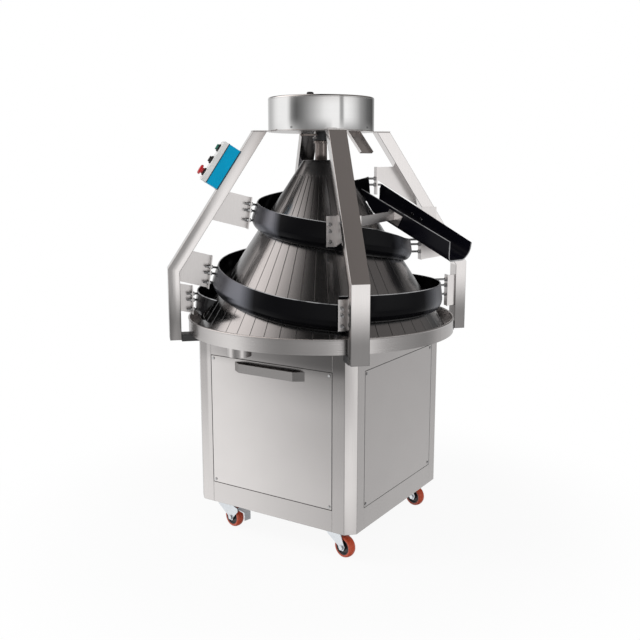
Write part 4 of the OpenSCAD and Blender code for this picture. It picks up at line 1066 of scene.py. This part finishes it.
class ROUNDER_OT_casters(bpy.types.Operator):
    """Makes the wheels with rounded tyres and dished hubs, and finishes forks, plates and pedals"""

    bl_idname = "rounder.casters"
    bl_label = "Casters"

    segments = 96
    shoulder = 0.004
    tread_depth = 0.0025
    boss = 0.011
    boss_foot = 0.013
    dish = 0.007
    rim = 0.0025

    def execute(self, context):
        colours = context.scene.rounder_colours
        size = context.scene.rounder_caster
        zinc = plated("zinc_pressing", colours.zinc)
        forks = ["fork_" + corner for corner in CORNERS]
        dress(["caster_plates", "pedal_left", "pedal_back"] + forks, zinc, 0.0008, merge=False)
        rubber = moulded_tyre("tyre_cast", colours.tyre)
        black = painted("hub_moulding", colours.black, 0.35)
        ahead = np.array([math.cos(size.turn), math.sin(size.turn), 0])
        axle = np.array([-math.sin(size.turn), math.cos(size.turn), 0])
        line = self.tyre_line(size)
        tread = np.repeat((line[:, 0] > size.radius - self.tread_depth)[:, None], self.segments, 1)
        for corner, (sx, sy) in CORNERS.items():
            centre = np.array([sx * size.pivot_x, sy * size.pivot_y, size.radius]) + size.trail * ahead
            tyre = lathe(line, centre, axle, self.segments, True)
            piece("rolling_tyre_" + corner, [tyre], rubber, "wheel_" + corner,
                  ["tyre_" + corner], marks={"tread": tread})
            hub = lathe(self.hub_line(size), centre, axle, self.segments, True)
            piece("dished_hub_" + corner, [hub], black, "wheel_" + corner, ["hub_" + corner])
        return {"FINISHED"}

    def tyre_line(self, size):
        """The tyre's section: a flat seat on the hub and a crown that rounds into both shoulders."""
        w = size.tyre_width / 2
        r = size.radius
        side = r - self.shoulder
        return rounded([(size.hub_radius, -w), (side, -w), (r, -w * 0.45), (r, w * 0.45), (side, w),
                        (size.hub_radius, w)],
                       [0.0003, 0.003, 0.005, 0.005, 0.003, 0.0003], 6)

    def hub_line(self, size):
        """The hub's section: boss, dished web and rim on both sides."""
        w = size.hub_width / 2
        r = size.hub_radius
        side = [(size.axle_radius, w), (self.boss, w), (self.boss_foot, w - self.dish),
                (r - 0.007, w - self.dish), (r - 0.004, w - self.rim), (r, w - self.rim)]
        other = [(x, -z) for x, z in side[::-1]]
        return rounded(side + other, 0.0008, 4)


class ROUNDER_OT_drive(bpy.types.Operator):
    """Finishes the drive inside the cabinet"""

    bl_idname = "rounder.drive"
    bl_label = "Drive"

    def execute(self, context):
        pulley = brushed("pulley_steel", (0.5, 0.5, 0.51), (60.0, 60.0, 900.0))
        hanger = brushed("hanger_steel", (0.45, 0.45, 0.46), (300.0, 300.0, 30.0), 0.45)
        enamel = painted("motor_enamel", (0.07, 0.085, 0.10), 0.35, grain=400.0, depth=0.15)
        dress(["driven_pulley", "drive_pulley"], pulley)
        dress(["drive_belt"], painted("belt_rubber", (0.015, 0.015, 0.015), 0.6, depth=0.4))
        dress(["gear_motor"], enamel, 0.003)
        dress(["motor_hangers"], hanger, 0.001)
        return {"FINISHED"}


class ROUNDER_PT_sidebar(bpy.types.Panel):
    """Lists the rounder's operators"""

    bl_idname = "ROUNDER_PT_sidebar"
    bl_label = "Dough rounder"
    bl_space_type = "VIEW_3D"
    bl_region_type = "UI"
    bl_category = "Rounder"

    def draw(self, context):
        for step in STEPS:
            self.layout.operator(step.bl_idname)


STEPS = [ROUNDER_OT_studio, ROUNDER_OT_steelwork, ROUNDER_OT_drum, ROUNDER_OT_cone, ROUNDER_OT_tracks,
         ROUNDER_OT_chute, ROUNDER_OT_head, ROUNDER_OT_fasteners, ROUNDER_OT_controls, ROUNDER_OT_casters,
         ROUNDER_OT_drive]
GROUPS = {"rounder_cabinet": RounderCabinet, "rounder_cone": RounderCone, "rounder_track": RounderTrack,
          "rounder_chute": RounderChute, "rounder_caster": RounderCaster, "rounder_controls": RounderControls,
          "rounder_colours": RounderColours, "rounder_studio": RounderStudio}
CLASSES = list(GROUPS.values()) + STEPS + [ROUNDER_PT_sidebar]


def register():
    """Registers the classes and hangs the sizes on the scene."""
    for cls in CLASSES:
        bpy.utils.register_class(cls)
    for name, cls in GROUPS.items():
        setattr(bpy.types.Scene, name, PointerProperty(type=cls))


def unregister():
    """Takes the sizes off the scene and the classes out."""
    for name in GROUPS:
        delattr(bpy.types.Scene, name)
    for cls in reversed(CLASSES):
        bpy.utils.unregister_class(cls)


def main():
    """Makes every piece in order."""
    register()
    for step in STEPS:
        group, name = step.bl_idname.split(".")
        getattr(getattr(bpy.ops, group), name)()


if __name__ == "__main__":
    main()
